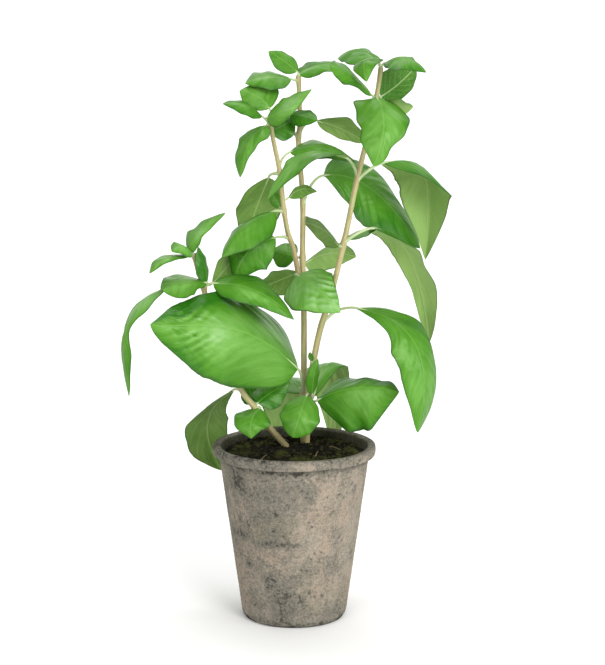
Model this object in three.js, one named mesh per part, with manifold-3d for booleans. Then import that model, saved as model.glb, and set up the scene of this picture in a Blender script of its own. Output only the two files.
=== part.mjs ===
// Potted basil plant: an aged clay pot, its soil and three leafy stems, in millimetres, +Z up.
// The origin is the middle of the pot's base, on the ground. The front faces -Y, the right +X.
import * as THREE from 'three';
import { mergeVertices } from 'three/addons/utils/BufferGeometryUtils.js';
import Module from 'manifold-3d';

const wasm = await Module();
wasm.setup();

// Pot: a tapered body under a rolled band
const potHeight = 127;
const rimRadius = 59;
const bandHeight = 8;
const bandStep = 4.8;
const baseRadius = 37.7;
const rimWall = 6.8;
const bodyWall = 5.2;
const floorThickness = 8;
const drainRadius = 6;
const baseRounding = 2.6;
const lipHeight = potHeight - 2.4;
const flareHeight = potHeight - bandHeight - 6;
const potSides = 64;

// Soil: fills the pot to a little under the rim, heaped where the stems stand
const soilEdgeHeight = 121;
const soilMiddleHeight = 124;
const soilLump = 1.1;
const fitGap = 0.35;
const soilRings = 7;
const soilSides = 36;

// Stems: round, a little thinner upwards, rooted in the soil
const stemFootRadius = 2.4;
const stemTopRadius = 1.5;
const stemSides = 8;
const rootDepthHeight = 102;

// Leaf stalks and blades
const stalkFootRadius = 1.25;
const stalkEndRadius = 0.9;
const stalkSides = 5;
const stalkReach = 0.12;
const stalkBend = 0.55;
const bladeThickness = 0.8;
const bladeColumns = 4;
const fewestRows = 5;
const mostRows = 10;
const widthPerRow = 6.5;
const usualFold = -10;
const usualWidest = 0.42;
const usualPoint = 0.85;
const droopOfMargin = 0.12;
const marginWave = 0.045;
const evenHalf = [1, 1, 1, 1, 1];
const outlineWave = 0.035;
const wavesPerBlade = 2.5;
const swayRate = 10.4;
const lobeRate = 23;

const leafGreen = new THREE.MeshStandardMaterial({ color: 0x58a53a, roughness: 0.42, metalness: 0 });
const clay = new THREE.MeshStandardMaterial({ color: 0xa8937c, roughness: 0.92, metalness: 0 });
const earth = new THREE.MeshStandardMaterial({ color: 0x2a2418, roughness: 0.97, metalness: 0 });

const vec = (values) => new THREE.Vector3(...values);
const degrees = (angle) => THREE.MathUtils.degToRad(angle);

// Every point of a leaf is a place in the object's own frame: the stalk leaves the stem at height
// node, the blade starts at base, its midrib passes middle halfway and ends at tip. The upper side
// looks along face. Fold is how far each half turns down (negative) or up from the midrib, and twist
// turns the blade about it from base to tip. Left and right widen or narrow each half at five places
// from base to tip, sway bends the midrib into an S, and lobe draws the right half's base back.
function leaf(node, base, middle, tip, face, width, more = {}) {
  return {
    node,
    base: vec(base),
    middle: vec(middle),
    tip: vec(tip),
    face: vec(face).normalize(),
    width,
    fold: more.fold ?? usualFold,
    widest: more.widest ?? usualWidest,
    point: more.point ?? usualPoint,
    bend: more.bend ?? stalkBend,
    twist: more.twist ?? 0,
    sway: vec(more.sway ?? [0, 0, 0]),
    lobe: more.lobe ?? 0,
    ruffle: more.ruffle ?? marginWave,
    left: more.left ?? evenHalf,
    right: more.right ?? evenHalf,
  };
}

// Right stem, the tallest, from its foot in the soil to its crown
const rightStem = {
  line: [
    [9, 11, rootDepthHeight], [9, 10.5, 126], [11, 7, 164], [16, 2, 198], [20, 0, 215], [25, -2, 231],
    [35, -3, 272], [44, -5, 317], [53, -5, 354], [57, -5, 373], [60, -5, 394],
  ],
  leaves: [
    leaf(393, [62, -7, 397], [76, -17, 401], [90, -26, 391], [0, -0.35, 0.93], 29, {
      left: [1.3, 1.1, 0.5, 0.25, 0.3],
    }),
    leaf(393, [58, -9, 398], [48, -28, 399], [49, -36, 385], [-0.4, -0.6, 0.6], 21),
    leaf(392, [58, 0, 397], [44, 14, 406], [31, 26, 400], [0, -0.42, 0.9], 31, {
      point: 0.65,
      right: [0.7, 0.5, 0.65, 1.2, 1.5],
    }),
    leaf(373, [54, -9, 375], [39, -24, 389], [24, -32, 396], [-0.35, -0.65, 0.7], 32, {
      widest: 0.52,
      left: [0.8, 0.45, 0.5, 0.8, 1],
    }),
    leaf(373, [60, -3, 374], [72, 4, 382], [85, 12, 394], [0.35, 0.8, 0.3], 27, {
      left: [0.9, 0.75, 0.7, 0.8, 1],
    }),
    leaf(371, [60, -6, 371], [71, -4, 368], [83, -2, 367], [0.2, 0.6, 0.75], 25),
    leaf(372, [57, -10, 374], [61, -32, 354], [54, -36, 328], [0.05, -1, 0.35], 38, {
      widest: 0.33,
      lobe: 9,
      left: [1, 1, 0.95, 0.6, 1.3],
      right: [1.15, 0.95, 0.9, 1.2, 1.3],
    }),
    leaf(316, [63, 2, 328], [95.7, 47.8, 314.5], [96, 44, 254], [0.37, 0.66, 0.65], 50, {
      fold: -30,
      twist: 14,
      sway: [1.6, -1, -0.5],
      left: [0.8, 0.75, 0.82, 0.95, 0.75],
      right: [0.7, 0.8, 1.3, 1.4, 1.3],
    }),
    leaf(318, [35, -14, 333], [6, -44, 334], [-18, -54, 307], [-0.3, -0.25, 0.9], 30, {
      fold: 5,
      right: [1, 1, 0.8, 0.6, 0.7],
    }),
    leaf(272, [56, 0, 282], [84, 28, 258], [99, 35, 194], [0.55, 0.6, 0.5], 46, {
      twist: 12,
      left: [1, 0.65, 0.5, 0.45, 0.6],
      right: [1, 0.9, 0.75, 1, 1.2],
    }),
    leaf(270, [32, -4, 270], [20, 8, 281], [7, 25, 283], [0, 0.7, 0.5], 25),
    leaf(273, [37, 0, 274], [47, 8, 279], [60, 14, 281], [0, -0.1, 1], 16),
    leaf(213, [44, -6, 226], [85, -24, 202], [87, -25, 140], [0.35, -0.6, 0.6], 43, {
      widest: 0.52,
      point: 0.75,
      left: [1.6, 1.3, 0.85, 1, 1.4],
      right: [0.6, 0.6, 0.85, 0.9, 0.8],
    }),
    leaf(158, [16, 0, 158], [44, -14, 170], [74, -20, 168], [0, -0.8, 0.6], 54, {
      fold: -28,
      ruffle: 0.07,
      left: [1, 0.75, 0.45, 0.6, 1.2],
      right: [1, 1.15, 1.05, 1.4, 1.4],
    }),
    leaf(161, [9, 0, 162], [4, -16, 151], [-1, -19, 135], [-0.1, -0.95, 0.35], 29, {
      widest: 0.5,
      point: 0.55,
    }),
    leaf(157, [13, 2, 162], [14, -3, 176], [17, -3, 189], [0.5, -0.8, 0.2], 11),
    leaf(156, [14, 14, 158], [28, 60, 172], [30, 76, 104], [0.1, 0.85, 0.5], 38, {
      right: [0.5, 0.55, 0.7, 0.9, 1],
    }),
    leaf(184, [12.5, 2, 186], [11.4, 1.4, 189.5], [11.6, 0.8, 193], [-0.6, -0.8, 0.1], 5),
  ],
};

// Middle stem, upright behind the right one
const middleStem = {
  line: [
    [7, 19, rootDepthHeight], [7, 18, 124], [7, 16, 161], [7, 14, 189], [7, 12, 217], [6, 10, 260],
    [6, 8, 301], [3, 6, 345], [4, 6, 354], [3, 4, 388],
  ],
  leaves: [
    leaf(386, [2, 5, 391], [-8, 8, 399], [-18, 10, 405], [-0.1, -0.8, 0.6], 15),
    leaf(385, [-2, 2, 386], [-18, -2, 388], [-34, -4, 383], [0, -0.45, 0.9], 27, {
      right: [1, 1, 1.3, 1.9, 2.3],
    }),
    leaf(385, [3, 5, 389], [17, 12, 395], [32, 22, 397], [0.2, -0.35, 0.9], 23, {
      left: [1, 1, 1.2, 1.5, 1.5],
      right: [0.9, 0.75, 0.55, 1, 1.4],
    }),
    leaf(345, [-3, -4, 362], [7, -10, 361], [16, -14, 358], [0.1, -0.75, 0.65], 17),
    leaf(347, [16, 10, 357], [33, 18, 351], [51, 22, 341], [0.1, 0.75, 0.65], 26, {
      widest: 0.5,
      left: [0.8, 0.6, 0.55, 0.6, 0.8],
      right: [1, 1.3, 1.2, 1, 1],
    }),
    leaf(298, [21, 16, 318], [57, 48, 305], [93, 56, 261], [0.1, -0.7, 0.7], 54, { widest: 0.54 }),
    leaf(260, [1, 14, 260], [-8, 20, 262], [-17, 26, 263], [-0.2, -0.8, 0.5], 21),
    leaf(257, [8, 13, 256], [26, 29, 261], [45, 37, 257], [0.1, 0.75, 0.5], 30),
    leaf(161, [3, -6, 182], [-53, -61, 222], [-96, -79, 226], [-0.15, -0.85, 0.48], 76, {
      fold: -19,
      widest: 0.34,
      point: 0.8,
      bend: 0.15,
      sway: [0, 0, 4],
      lobe: 13,
      left: [0.95, 0.95, 1, 0.9, 0.8],
      right: [1.3, 1, 0.77, 0.72, 0.75],
    }),
    leaf(158, [6, 18, 160], [-6, 60, 159], [-5, 76, 102], [-0.1, 0.85, 0.5], 48),
    leaf(244, [2, -1, 249], [17, -26, 242], [32, -34, 227], [-0.1, -0.8, 0.6], 44, {
      widest: 0.28,
      left: [0.9, 0.8, 0.7, 0.6, 0.6],
    }),
    leaf(246, [3, 13, 249], [-10, 18, 243], [-28, 22, 235], [-0.1, 0.7, 0.6], 30),
  ],
};

// Left branch of the middle stem
const branch = {
  line: [
    [7, 12, 230], [5, 11, 237], [2, 6, 254], [-1, 3, 269], [-4, 0, 277], [-7, -5, 294], [-10, -8, 322],
    [-14, -10, 342], [-17, -12, 358],
  ],
  leaves: [
    leaf(357, [-17, -11, 366], [-25.5, -9, 374.5], [-38, -5, 378], [-0.1, -0.8, 0.6], 29, {
      left: [0.7, 0.65, 0.8, 1, 1],
      right: [1, 1.2, 1.2, 1.2, 1],
    }),
    leaf(357, [-22, -15, 361], [-34, -21, 369], [-49, -25, 370], [0, -0.5, 0.87], 19),
    leaf(356, [-19, -16, 360], [-6, -28, 367], [12, -31, 380], [-0.2, -0.75, 0.65], 25, {
      right: [0.9, 0.8, 0.6, 0.45, 0.4],
    }),
    leaf(356, [-19, -15, 355], [-31, -29, 343], [-37, -31, 320], [-0.5, -0.7, 0.5], 26, {
      left: [1, 0.8, 0.45, 0.4, 0.5],
      right: [1.6, 1.3, 0.9, 1.1, 1.3],
    }),
    leaf(352, [-17, -9, 351], [-8, -4, 354], [0, 0, 359], [0, -0.8, 0.6], 21),
    leaf(322, [-3, -10, 336], [21, -9, 340], [44, 0, 328], [0.1, -0.4, 0.9], 25, {
      left: [1.3, 1.5, 1.5, 1.3, 1.2],
    }),
    leaf(316, [-4, -5, 304], [5, -3, 310], [16, -3, 308], [0, 0.6, 0.7], 16),
    leaf(321, [-18, -3, 318], [-27, 12, 295], [-36, 15, 270], [-0.3, 0.8, 0.5], 35),
    leaf(294, [-14, -9, 295], [-35, -24, 286], [-50, -32, 265], [-0.25, -0.42, 0.88], 37, { fold: -25 }),
    leaf(295, [-10, -2, 297], [-13, 0, 302], [-17, 3, 307], [-0.3, -0.8, 0.4], 9),
    leaf(275, [-13, -5, 276], [-32, -16, 267], [-42, -13, 246], [0.15, -0.8, 0.45], 35, { fold: -20 }),
  ],
};

// Left stem, which leans out low over the rim
const leftStem = {
  line: [
    [0, 5, rootDepthHeight], [-1, 5, 117], [-5, 3, 123], [-12, -2, 132], [-18, -6, 140], [-28, -11, 155],
    [-37, -15, 168], [-50, -23, 202], [-61, -28, 235], [-63, -30, 246], [-66, -32, 255], [-69, -34, 268],
  ],
  leaves: [
    leaf(267, [-73, -36, 270], [-64, -37, 283], [-47, -31, 296], [-0.3, -0.6, 0.75], 20, {
      left: [2, 1.6, 1.2, 1.3, 1.5],
      right: [1, 0.6, 0.35, 0.4, 0.5],
    }),
    leaf(267, [-70, -36, 269], [-76, -43, 274], [-83, -49, 271], [0, -0.6, 0.8], 19),
    leaf(266, [-72, -37, 267], [-87, -49, 266], [-98, -55, 257], [0, -0.35, 0.93], 15, {
      left: [0.6, 0.5, 0.45, 0.5, 0.6],
      right: [1, 1.3, 1.5, 1.4, 1.3],
    }),
    leaf(247, [-60, -30, 248], [-62, -33, 260], [-66, -36, 273], [0.8, -0.5, 0.3], 17),
    leaf(247, [-57, -24, 246], [-48, -6, 255], [-39, 7, 266], [0.2, 0.8, 0.4], 22),
    leaf(246, [-61, -34, 248], [-75, -48, 250], [-89, -60, 246], [-0.2, -0.65, 0.7], 28, {
      point: 0.62,
      left: [0.5, 0.5, 0.8, 1.1, 1.3],
      lobe: 9,
      right: [1.2, 1.3, 1.3, 1.1, 1],
    }),
    leaf(245, [-89, -50, 246], [-113, -72, 221], [-111.5, -73, 176], [-0.85, -0.4, 0.3], 30, {
      sway: [-1, 0, 0.7],
      left: [1, 0.85, 0.35, 0.65, 0.9],
      right: [1, 1, 0.6, 0.7, 0.4],
    }),
    leaf(244, [-56, -30, 247], [-26, -34, 242], [0, -27, 221], [0.1, -0.6, 0.8], 36, {
      right: [0.9, 0.75, 0.65, 0.6, 0.6],
    }),
    leaf(155, [-44, -2, 166], [-64, 32, 134], [-54, 47, 95], [-0.45, 0.75, 0.4], 44, {
      right: [0.4, 0.45, 0.7, 0.85, 0.9],
    }),
    leaf(155, [-24, -12, 155], [-30, -26, 149], [-30, -30, 137], [0, -0.8, 0.6], 27),
    leaf(155, [-26, -9, 158], [-17, -2, 164], [-3, 5, 171], [0.1, -0.7, 0.6], 23),
    leaf(155, [-28, -8, 158], [-31, -2, 163], [-34, 3, 171], [0, -0.6, 0.5], 15),
  ],
};

// A closed body from a list of points and triangles, as a manifold solid
function solidOf(points, triangles) {
  const vertProperties = new Float32Array(points.flatMap((p) => [p.x, p.y, p.z]));
  const triVerts = new Uint32Array(triangles.flat());
  return new wasm.Manifold(new wasm.Mesh({ numProp: 3, vertProperties, triVerts }));
}

function solidOfGeometry(geometry) {
  const bare = geometry.clone();
  bare.deleteAttribute('normal');
  bare.deleteAttribute('uv');
  const merged = mergeVertices(bare, 1e-4);
  const vertProperties = new Float32Array(merged.attributes.position.array);
  const triVerts = new Uint32Array(merged.index.array);
  return new wasm.Manifold(new wasm.Mesh({ numProp: 3, vertProperties, triVerts }));
}

function geometryOf(solid) {
  const mesh = solid.getMesh();
  const geometry = new THREE.BufferGeometry();
  geometry.setAttribute('position', new THREE.BufferAttribute(mesh.vertProperties, 3));
  geometry.setIndex(new THREE.BufferAttribute(mesh.triVerts, 1));
  geometry.computeVertexNormals();
  return geometry;
}

// The largest connected body, so that no scrap of a join stays loose
function mainBody(solid) {
  const bodies = solid.decompose();
  return bodies.reduce((kept, body) => (body.volume() > kept.volume() ? body : kept));
}

function fuse(solids) {
  return mainBody(solids.reduce((whole, next) => whole.add(next)));
}

// A round, tapering bar along a list of points, closed at both ends
function bar(points, radiusAt, sides) {
  const rings = [];
  let side = null;
  points.forEach((point, i) => {
    const before = points[Math.max(i - 1, 0)];
    const after = points[Math.min(i + 1, points.length - 1)];
    const along = after.clone().sub(before).normalize();
    if (side === null) side = Math.abs(along.z) > 0.9 ? vec([1, 0, 0]) : vec([0, 0, 1]);
    side = side.clone().addScaledVector(along, -side.dot(along)).normalize();
    const other = along.clone().cross(side);
    const radius = radiusAt(i / (points.length - 1));
    const ring = [];
    for (let k = 0; k < sides; k += 1) {
      const turn = (2 * Math.PI * k) / sides;
      ring.push(point.clone().addScaledVector(side, radius * Math.cos(turn))
        .addScaledVector(other, radius * Math.sin(turn)));
    }
    rings.push(ring);
  });
  const triangles = [];
  for (let i = 0; i + 1 < rings.length; i += 1) {
    for (let k = 0; k < sides; k += 1) {
      const next = (k + 1) % sides;
      const [a, b, c, d] = [i * sides + k, i * sides + next, (i + 1) * sides + next, (i + 1) * sides + k];
      triangles.push([a, b, c], [a, c, d]);
    }
  }
  const last = (rings.length - 1) * sides;
  for (let k = 1; k + 1 < sides; k += 1) {
    triangles.push([0, k + 1, k], [last, last + k, last + k + 1]);
  }
  return solidOf(rings.flat(), triangles);
}

// The midrib is a smooth line through base, middle and tip. Its sway is greatest near a fifth and
// four fifths of the way.
function midrib(blade, s) {
  return new THREE.Vector3()
    .addScaledVector(blade.base, (1 - s) * (1 - 2 * s))
    .addScaledVector(blade.middle, 4 * s * (1 - s))
    .addScaledVector(blade.tip, s * (2 * s - 1))
    .addScaledVector(blade.sway, swayRate * s * (1 - s) * (1 - 2 * s));
}

function midribDirection(blade, s) {
  return new THREE.Vector3()
    .addScaledVector(blade.base, 4 * s - 3)
    .addScaledVector(blade.middle, 4 - 8 * s)
    .addScaledVector(blade.tip, 4 * s - 1)
    .addScaledVector(blade.sway, swayRate * (1 - 6 * s + 6 * s * s))
    .normalize();
}

// A value eased between five places spread evenly from base to tip
function eased(values, s) {
  const place = s * (values.length - 1);
  const k = Math.min(Math.floor(place), values.length - 2);
  return THREE.MathUtils.lerp(values[k], values[k + 1], THREE.MathUtils.smoothstep(place - k, 0, 1));
}

// How wide the blade is at s, from 0 at its ends to 1 where it is widest
function outline(blade, s) {
  const rise = (blade.point * blade.widest) / (1 - blade.widest);
  const peak = blade.widest ** rise * (1 - blade.widest) ** blade.point;
  return (s ** rise * (1 - s) ** blade.point) / peak;
}

// The blade's middle surface at s along the midrib and t across it, from -1 to 1, with its normal
function bladePoint(blade, s, t) {
  const along = midribDirection(blade, s);
  const chord = blade.tip.clone().sub(blade.base).normalize();
  const level = chord.cross(blade.face).normalize();
  const across = level.addScaledVector(along, -level.dot(along)).normalize();
  across.applyAxisAngle(along, -degrees(blade.twist * (2 * s - 1)));
  const normal = across.clone().cross(along);
  const swing = 2 * Math.PI * wavesPerBlade * s + (t > 0 ? 0 : Math.PI / 2) + blade.width;
  const side = eased(t > 0 ? blade.right : blade.left, s);
  const half = (blade.width / 2) * outline(blade, s) * side * (1 + outlineWave * Math.sin(swing + 1));
  const fold = degrees(blade.fold);
  const lift = Math.abs(t) * Math.sin(fold) - droopOfMargin * t * t;
  const wave = blade.ruffle * t * t * Math.sin(swing) * Math.sin(Math.PI * s);
  const back = t > 0 ? lobeRate * blade.lobe * t * t * s * (1 - s) ** 8 : 0;
  const point = midrib(blade, s)
    .addScaledVector(across, half * t * Math.cos(fold))
    .addScaledVector(normal, half * lift + (blade.width / 2) * wave)
    .addScaledVector(along, -back);
  return { point, normal };
}

function bladeSolid(blade) {
  const rows = Math.round(THREE.MathUtils.clamp(2 + blade.width / widthPerRow, fewestRows, mostRows));
  const faces = [-1, 1].map((side) => {
    const grid = [];
    for (let i = 0; i <= rows; i += 1) {
      const columns = i === 0 || i === rows ? [0] : [...Array(bladeColumns + 1).keys()];
      grid.push(columns.map((j) => {
        const t = columns.length === 1 ? 0 : (2 * j) / bladeColumns - 1;
        const { point, normal } = bladePoint(blade, i / rows, t);
        return point.addScaledVector(normal, (side * bladeThickness) / 2);
      }));
    }
    return grid;
  });
  const points = faces.flat(2);
  const perFace = faces[0].flat().length;
  const at = (i, j) => {
    if (i === 0) return 0;
    if (i === rows) return perFace - 1;
    return 1 + (i - 1) * (bladeColumns + 1) + j;
  };
  const under = [];
  for (let j = 0; j < bladeColumns; j += 1) {
    under.push([at(0, 0), at(1, j), at(1, j + 1)]);
    under.push([at(rows, 0), at(rows - 1, j + 1), at(rows - 1, j)]);
    for (let i = 1; i < rows - 1; i += 1) {
      under.push([at(i, j), at(i + 1, j), at(i + 1, j + 1)], [at(i, j), at(i + 1, j + 1), at(i, j + 1)]);
    }
  }
  const upper = under.map(([a, b, c]) => [a + perFace, c + perFace, b + perFace]);
  const rim = [];
  for (let i = 0; i < rows; i += 1) {
    [0, bladeColumns].forEach((j) => {
      const [a, b] = j === 0 ? [at(i, j), at(i + 1, j)] : [at(i + 1, j), at(i, j)];
      rim.push([a, a + perFace, b + perFace], [a, b + perFace, b]);
    });
  }
  return solidOf(points, [...under, ...upper, ...rim]);
}

// The stalk bends from the stem into the start of the midrib and ends inside the blade
function stalkSolid(blade, stemCurve) {
  const root = pointAtHeight(stemCurve, blade.node);
  const reach = blade.base.distanceTo(root);
  const bend = blade.base.clone().addScaledVector(midribDirection(blade, 0), -blade.bend * reach);
  const curve = new THREE.QuadraticBezierCurve3(root, bend, blade.base);
  const points = [...curve.getPoints(reach > 12 ? 4 : 2), midrib(blade, stalkReach)];
  const radiusAt = (share) => THREE.MathUtils.lerp(stalkFootRadius, stalkEndRadius, share);
  return bar(points, radiusAt, stalkSides);
}

function curveOf(stem) {
  return new THREE.CatmullRomCurve3(stem.line.map(vec), false, 'centripetal');
}

function pointAtHeight(curve, height) {
  let low = 0;
  let high = 1;
  for (let step = 0; step < 24; step += 1) {
    const half = (low + high) / 2;
    if (curve.getPoint(half).z < height) low = half;
    else high = half;
  }
  return curve.getPoint(low);
}

function stemSolid(stem, footRadius, topRadius, extra = 0) {
  const points = curveOf(stem).getPoints(2 * (stem.line.length - 1));
  points[0].z -= extra;
  return bar(points, (share) => THREE.MathUtils.lerp(footRadius, topRadius, share) + extra, stemSides);
}

function leavesOf(stem) {
  const curve = curveOf(stem);
  return stem.leaves.flatMap((blade) => [stalkSolid(blade, curve), bladeSolid(blade)]);
}

function potGeometry() {
  const bodyTop = potHeight - bandHeight;
  const bodyRadius = rimRadius - bandStep;
  const slope = (bodyRadius - baseRadius) / bodyTop;
  const inner = (z) => baseRadius + slope * z - bodyWall;
  const lip = rimRadius - rimWall;
  const profile = [
    [drainRadius, 0], [baseRadius - baseRounding, 0], [baseRadius - 0.6, 0.8],
    [baseRadius + slope * 3, 3], [baseRadius + slope * 60, 60], [bodyRadius, bodyTop - 0.4],
    [rimRadius - 1.6, bodyTop + 0.6], [rimRadius - 0.2, bodyTop + 2.4], [rimRadius, potHeight - 3],
    [rimRadius - 1.2, potHeight - 0.7], [rimRadius - 3.2, potHeight], [lip + 1.6, potHeight - 0.3],
    [lip, lipHeight], [inner(flareHeight), flareHeight], [inner(60), 60],
    [inner(floorThickness + 4), floorThickness + 4], [inner(floorThickness) - 4, floorThickness],
    [drainRadius, floorThickness], [drainRadius, 0],
  ];
  const points = profile.map(([r, z]) => new THREE.Vector2(r, z));
  return new THREE.LatheGeometry(points, potSides).rotateX(Math.PI / 2);
}

function soilHeight(x, y) {
  const share = Math.min(Math.hypot(x, y) / (rimRadius - rimWall), 1);
  const lump = Math.sin(x * 0.31 + 1) * Math.cos(y * 0.27) + Math.sin(x * 0.17 - y * 0.22 + 2);
  const heap = THREE.MathUtils.lerp(soilMiddleHeight, soilEdgeHeight, share * share);
  return heap + soilLump * lump * (1 - share ** 6);
}

function soilSolid() {
  const slope = (rimRadius - bandStep - baseRadius) / (potHeight - bandHeight);
  const inner = (z) => baseRadius + slope * z - bodyWall - fitGap;
  const bottom = floorThickness + fitGap;
  const profile = [[0, bottom], [inner(floorThickness) - 4.4, bottom],
    [inner(floorThickness + 4), floorThickness + 4.3], [inner(60), 60], [inner(flareHeight), flareHeight]];
  const risen = (soilEdgeHeight - flareHeight) / (lipHeight - flareHeight);
  const edge = THREE.MathUtils.lerp(inner(flareHeight), rimRadius - rimWall - 2 * fitGap, risen);
  for (let ring = soilRings; ring >= 0; ring -= 1) {
    profile.push([(edge * ring) / soilRings, soilEdgeHeight]);
  }
  const points = profile.map(([r, z]) => new THREE.Vector2(r, z));
  const geometry = new THREE.LatheGeometry(points, soilSides).rotateX(Math.PI / 2);
  const spots = geometry.attributes.position;
  for (let i = 0; i < spots.count; i += 1) {
    if (spots.getZ(i) > soilEdgeHeight - 1) {
      spots.setZ(i, soilHeight(spots.getX(i), spots.getY(i)));
    }
  }
  return solidOfGeometry(geometry);
}

const stems = [rightStem, middleStem, leftStem];
const holes = stems.map((stem) => stemSolid(stem, stemFootRadius, stemTopRadius, fitGap));
const bedding = holes.reduce((soil, hole) => soil.subtract(hole), soilSolid());

const branchSolid = stemSolid(branch, 1.9, 1.4);
const rightBody = fuse([stemSolid(rightStem, stemFootRadius, stemTopRadius), ...leavesOf(rightStem)]);
const middleBody = fuse([
  stemSolid(middleStem, stemFootRadius, stemTopRadius), branchSolid,
  ...leavesOf(middleStem), ...leavesOf(branch),
]);
const leftBody = fuse([stemSolid(leftStem, stemFootRadius, stemTopRadius), ...leavesOf(leftStem)]);

const plant = new THREE.Group();

function place(name, geometry, material) {
  const mesh = new THREE.Mesh(geometry, material);
  mesh.name = name;
  plant.add(mesh);
}

place('pot', potGeometry(), clay);
place('soil', geometryOf(mainBody(bedding)), earth);
place('right_leafy_stem', geometryOf(rightBody), leafGreen);
place('middle_leafy_stem', geometryOf(middleBody), leafGreen);
place('left_leafy_stem', geometryOf(leftBody), leafGreen);

export default plant;
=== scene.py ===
import math
import random
import bpy
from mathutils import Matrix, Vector
import numpy as np


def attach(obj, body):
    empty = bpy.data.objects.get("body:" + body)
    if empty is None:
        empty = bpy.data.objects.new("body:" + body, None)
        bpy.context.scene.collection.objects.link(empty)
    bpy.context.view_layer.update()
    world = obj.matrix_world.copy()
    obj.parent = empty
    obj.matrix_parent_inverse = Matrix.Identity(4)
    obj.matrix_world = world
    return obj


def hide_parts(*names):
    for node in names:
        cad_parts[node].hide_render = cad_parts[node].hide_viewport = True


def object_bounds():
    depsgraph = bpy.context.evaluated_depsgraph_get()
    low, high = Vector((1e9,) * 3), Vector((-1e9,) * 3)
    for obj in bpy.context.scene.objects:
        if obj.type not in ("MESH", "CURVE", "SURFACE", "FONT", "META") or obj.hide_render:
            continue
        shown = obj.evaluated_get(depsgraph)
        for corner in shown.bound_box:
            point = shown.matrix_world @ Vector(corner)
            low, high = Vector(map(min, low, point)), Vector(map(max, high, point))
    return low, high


# Potted basil plant: fine leaves, stems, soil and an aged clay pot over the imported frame.
# Sizes in the dictionaries are millimetres in the part's own frame, colours are linear.

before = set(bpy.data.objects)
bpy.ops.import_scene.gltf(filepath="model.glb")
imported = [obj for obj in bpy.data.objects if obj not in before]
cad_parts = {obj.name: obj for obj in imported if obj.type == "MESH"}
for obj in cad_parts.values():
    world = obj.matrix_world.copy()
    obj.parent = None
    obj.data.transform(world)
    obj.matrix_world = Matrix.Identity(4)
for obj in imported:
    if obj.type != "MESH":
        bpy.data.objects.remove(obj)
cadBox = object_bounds()
print("frame loaded")

mm = 0.001
fullTurn = 2 * math.pi


# Small helpers

def arr(values):
    return np.array(values, dtype=float)


def unit(v):
    return v / np.maximum(np.linalg.norm(v, axis=-1, keepdims=True), 1e-9)


def smooth(low, high, x):
    k = np.clip((x - low) / (high - low), 0, 1)
    return k * k * (3 - 2 * k)


def hump(x, reach, y=0, yReach=1):
    # 1 in the middle, fading out over the reach, or over a reach of its own each way
    return np.exp(-(x / reach) ** 2 - (y / yReach) ** 2)


def ripple(x, y, seed, waves=5):
    # gentle lumps from a few crossing waves, about -1 to 1
    rng = random.Random(seed)
    total = 0
    for wave in range(waves):
        turn = rng.uniform(0, fullTurn)
        rate = 1.0 + 0.75 * wave
        shift = rng.uniform(0, fullTurn)
        way = x * math.cos(turn) + y * math.sin(turn)
        total = total + np.sin(rate * way + shift) / (1 + 0.5 * wave)
    return total / (0.62 * waves)


def ringFaces(rings, sides, closed=False):
    # four-sided faces between neighbouring rings, and from the last to the first if closed
    faces = []
    for i in range(rings if closed else rings - 1):
        low, high = i * sides, (i + 1) % rings * sides
        for k in range(sides):
            n = (k + 1) % sides
            faces.append((low + k, low + n, high + n, high + k))
    return faces


def addObject(name, data):
    made = bpy.data.objects.new(name, data)
    bpy.context.scene.collection.objects.link(made)
    return made


def smoothMesh(name, verts, faces, material):
    mesh = bpy.data.meshes.new(name)
    mesh.from_pydata(verts, [], faces)
    mesh.polygons.foreach_set("use_smooth", [True] * len(mesh.polygons))
    mesh.materials.append(material)
    return mesh


def makePiece(name, verts, faces, material, marks, sharp=50):
    # in metres, kept inside the solids' box, with the marks that its material reads
    verts = np.clip(np.asarray(verts) * mm, cadBox[0], cadBox[1])
    mesh = smoothMesh(name, verts.tolist(), faces, material)
    for key, values in marks.items():
        values = np.asarray(values, dtype=np.float32)
        kind, field = ("FLOAT", "value") if values.ndim == 1 else ("FLOAT_VECTOR", "vector")
        mesh.attributes.new(key, kind, "POINT").data.foreach_set(field, values.ravel())
    mesh.update()
    mesh.set_sharp_from_angle(angle=math.radians(sharp))
    return addObject(name, mesh)


class Pile:
    # gathers the vertices, faces and marks of many small forms into one piece
    def __init__(self):
        self.verts = []
        self.faces = []
        self.marks = {}
        self.count = 0

    def add(self, verts, faces, **marks):
        self.verts.append(verts)
        self.faces.extend([tuple(int(k) + self.count for k in face) for face in faces])
        for key, values in marks.items():
            self.marks.setdefault(key, []).append(np.asarray(values, dtype=float))
        self.count += len(verts)

    def piece(self, name, material, sharp=50):
        marks = {key: np.concatenate(values) for key, values in self.marks.items()}
        return makePiece(name, np.concatenate(self.verts), self.faces, material, marks, sharp)


# Shader helpers: each one makes a node and gives the socket that it puts out

def newMaterial(name):
    material = bpy.data.materials.new(name)
    material.use_nodes = True
    tree = material.node_tree
    return material, tree, tree.nodes["Principled BSDF"]


def feed(tree, made, inputs):
    # sockets are linked, numbers and colours are set, and None leaves an input as it is
    for key, value in inputs.items():
        socket = made.inputs[key]
        if isinstance(value, bpy.types.NodeSocket):
            tree.links.new(value, socket)
        elif value is not None:
            socket.default_value = (*value, 1) if socket.type == "RGBA" else value


def node(tree, kind, inputs, **settings):
    made = tree.nodes.new(kind)
    for key, value in settings.items():
        setattr(made, key, value)
    feed(tree, made, inputs)
    return made.outputs


def maths(tree, operation, a, b=None):
    return node(tree, "ShaderNodeMath", {0: a, 1: b}, operation=operation)[0]


def times(tree, a, b):
    return maths(tree, "MULTIPLY", a, b)


def plus(tree, value, more, share=1.0):
    return maths(tree, "ADD", value, times(tree, more, share))


def vary(tree, value, texture, amount):
    # a value that a texture of 0 to 1 pushes up and down alike
    return plus(tree, value, maths(tree, "SUBTRACT", texture, 0.5), amount)


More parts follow.
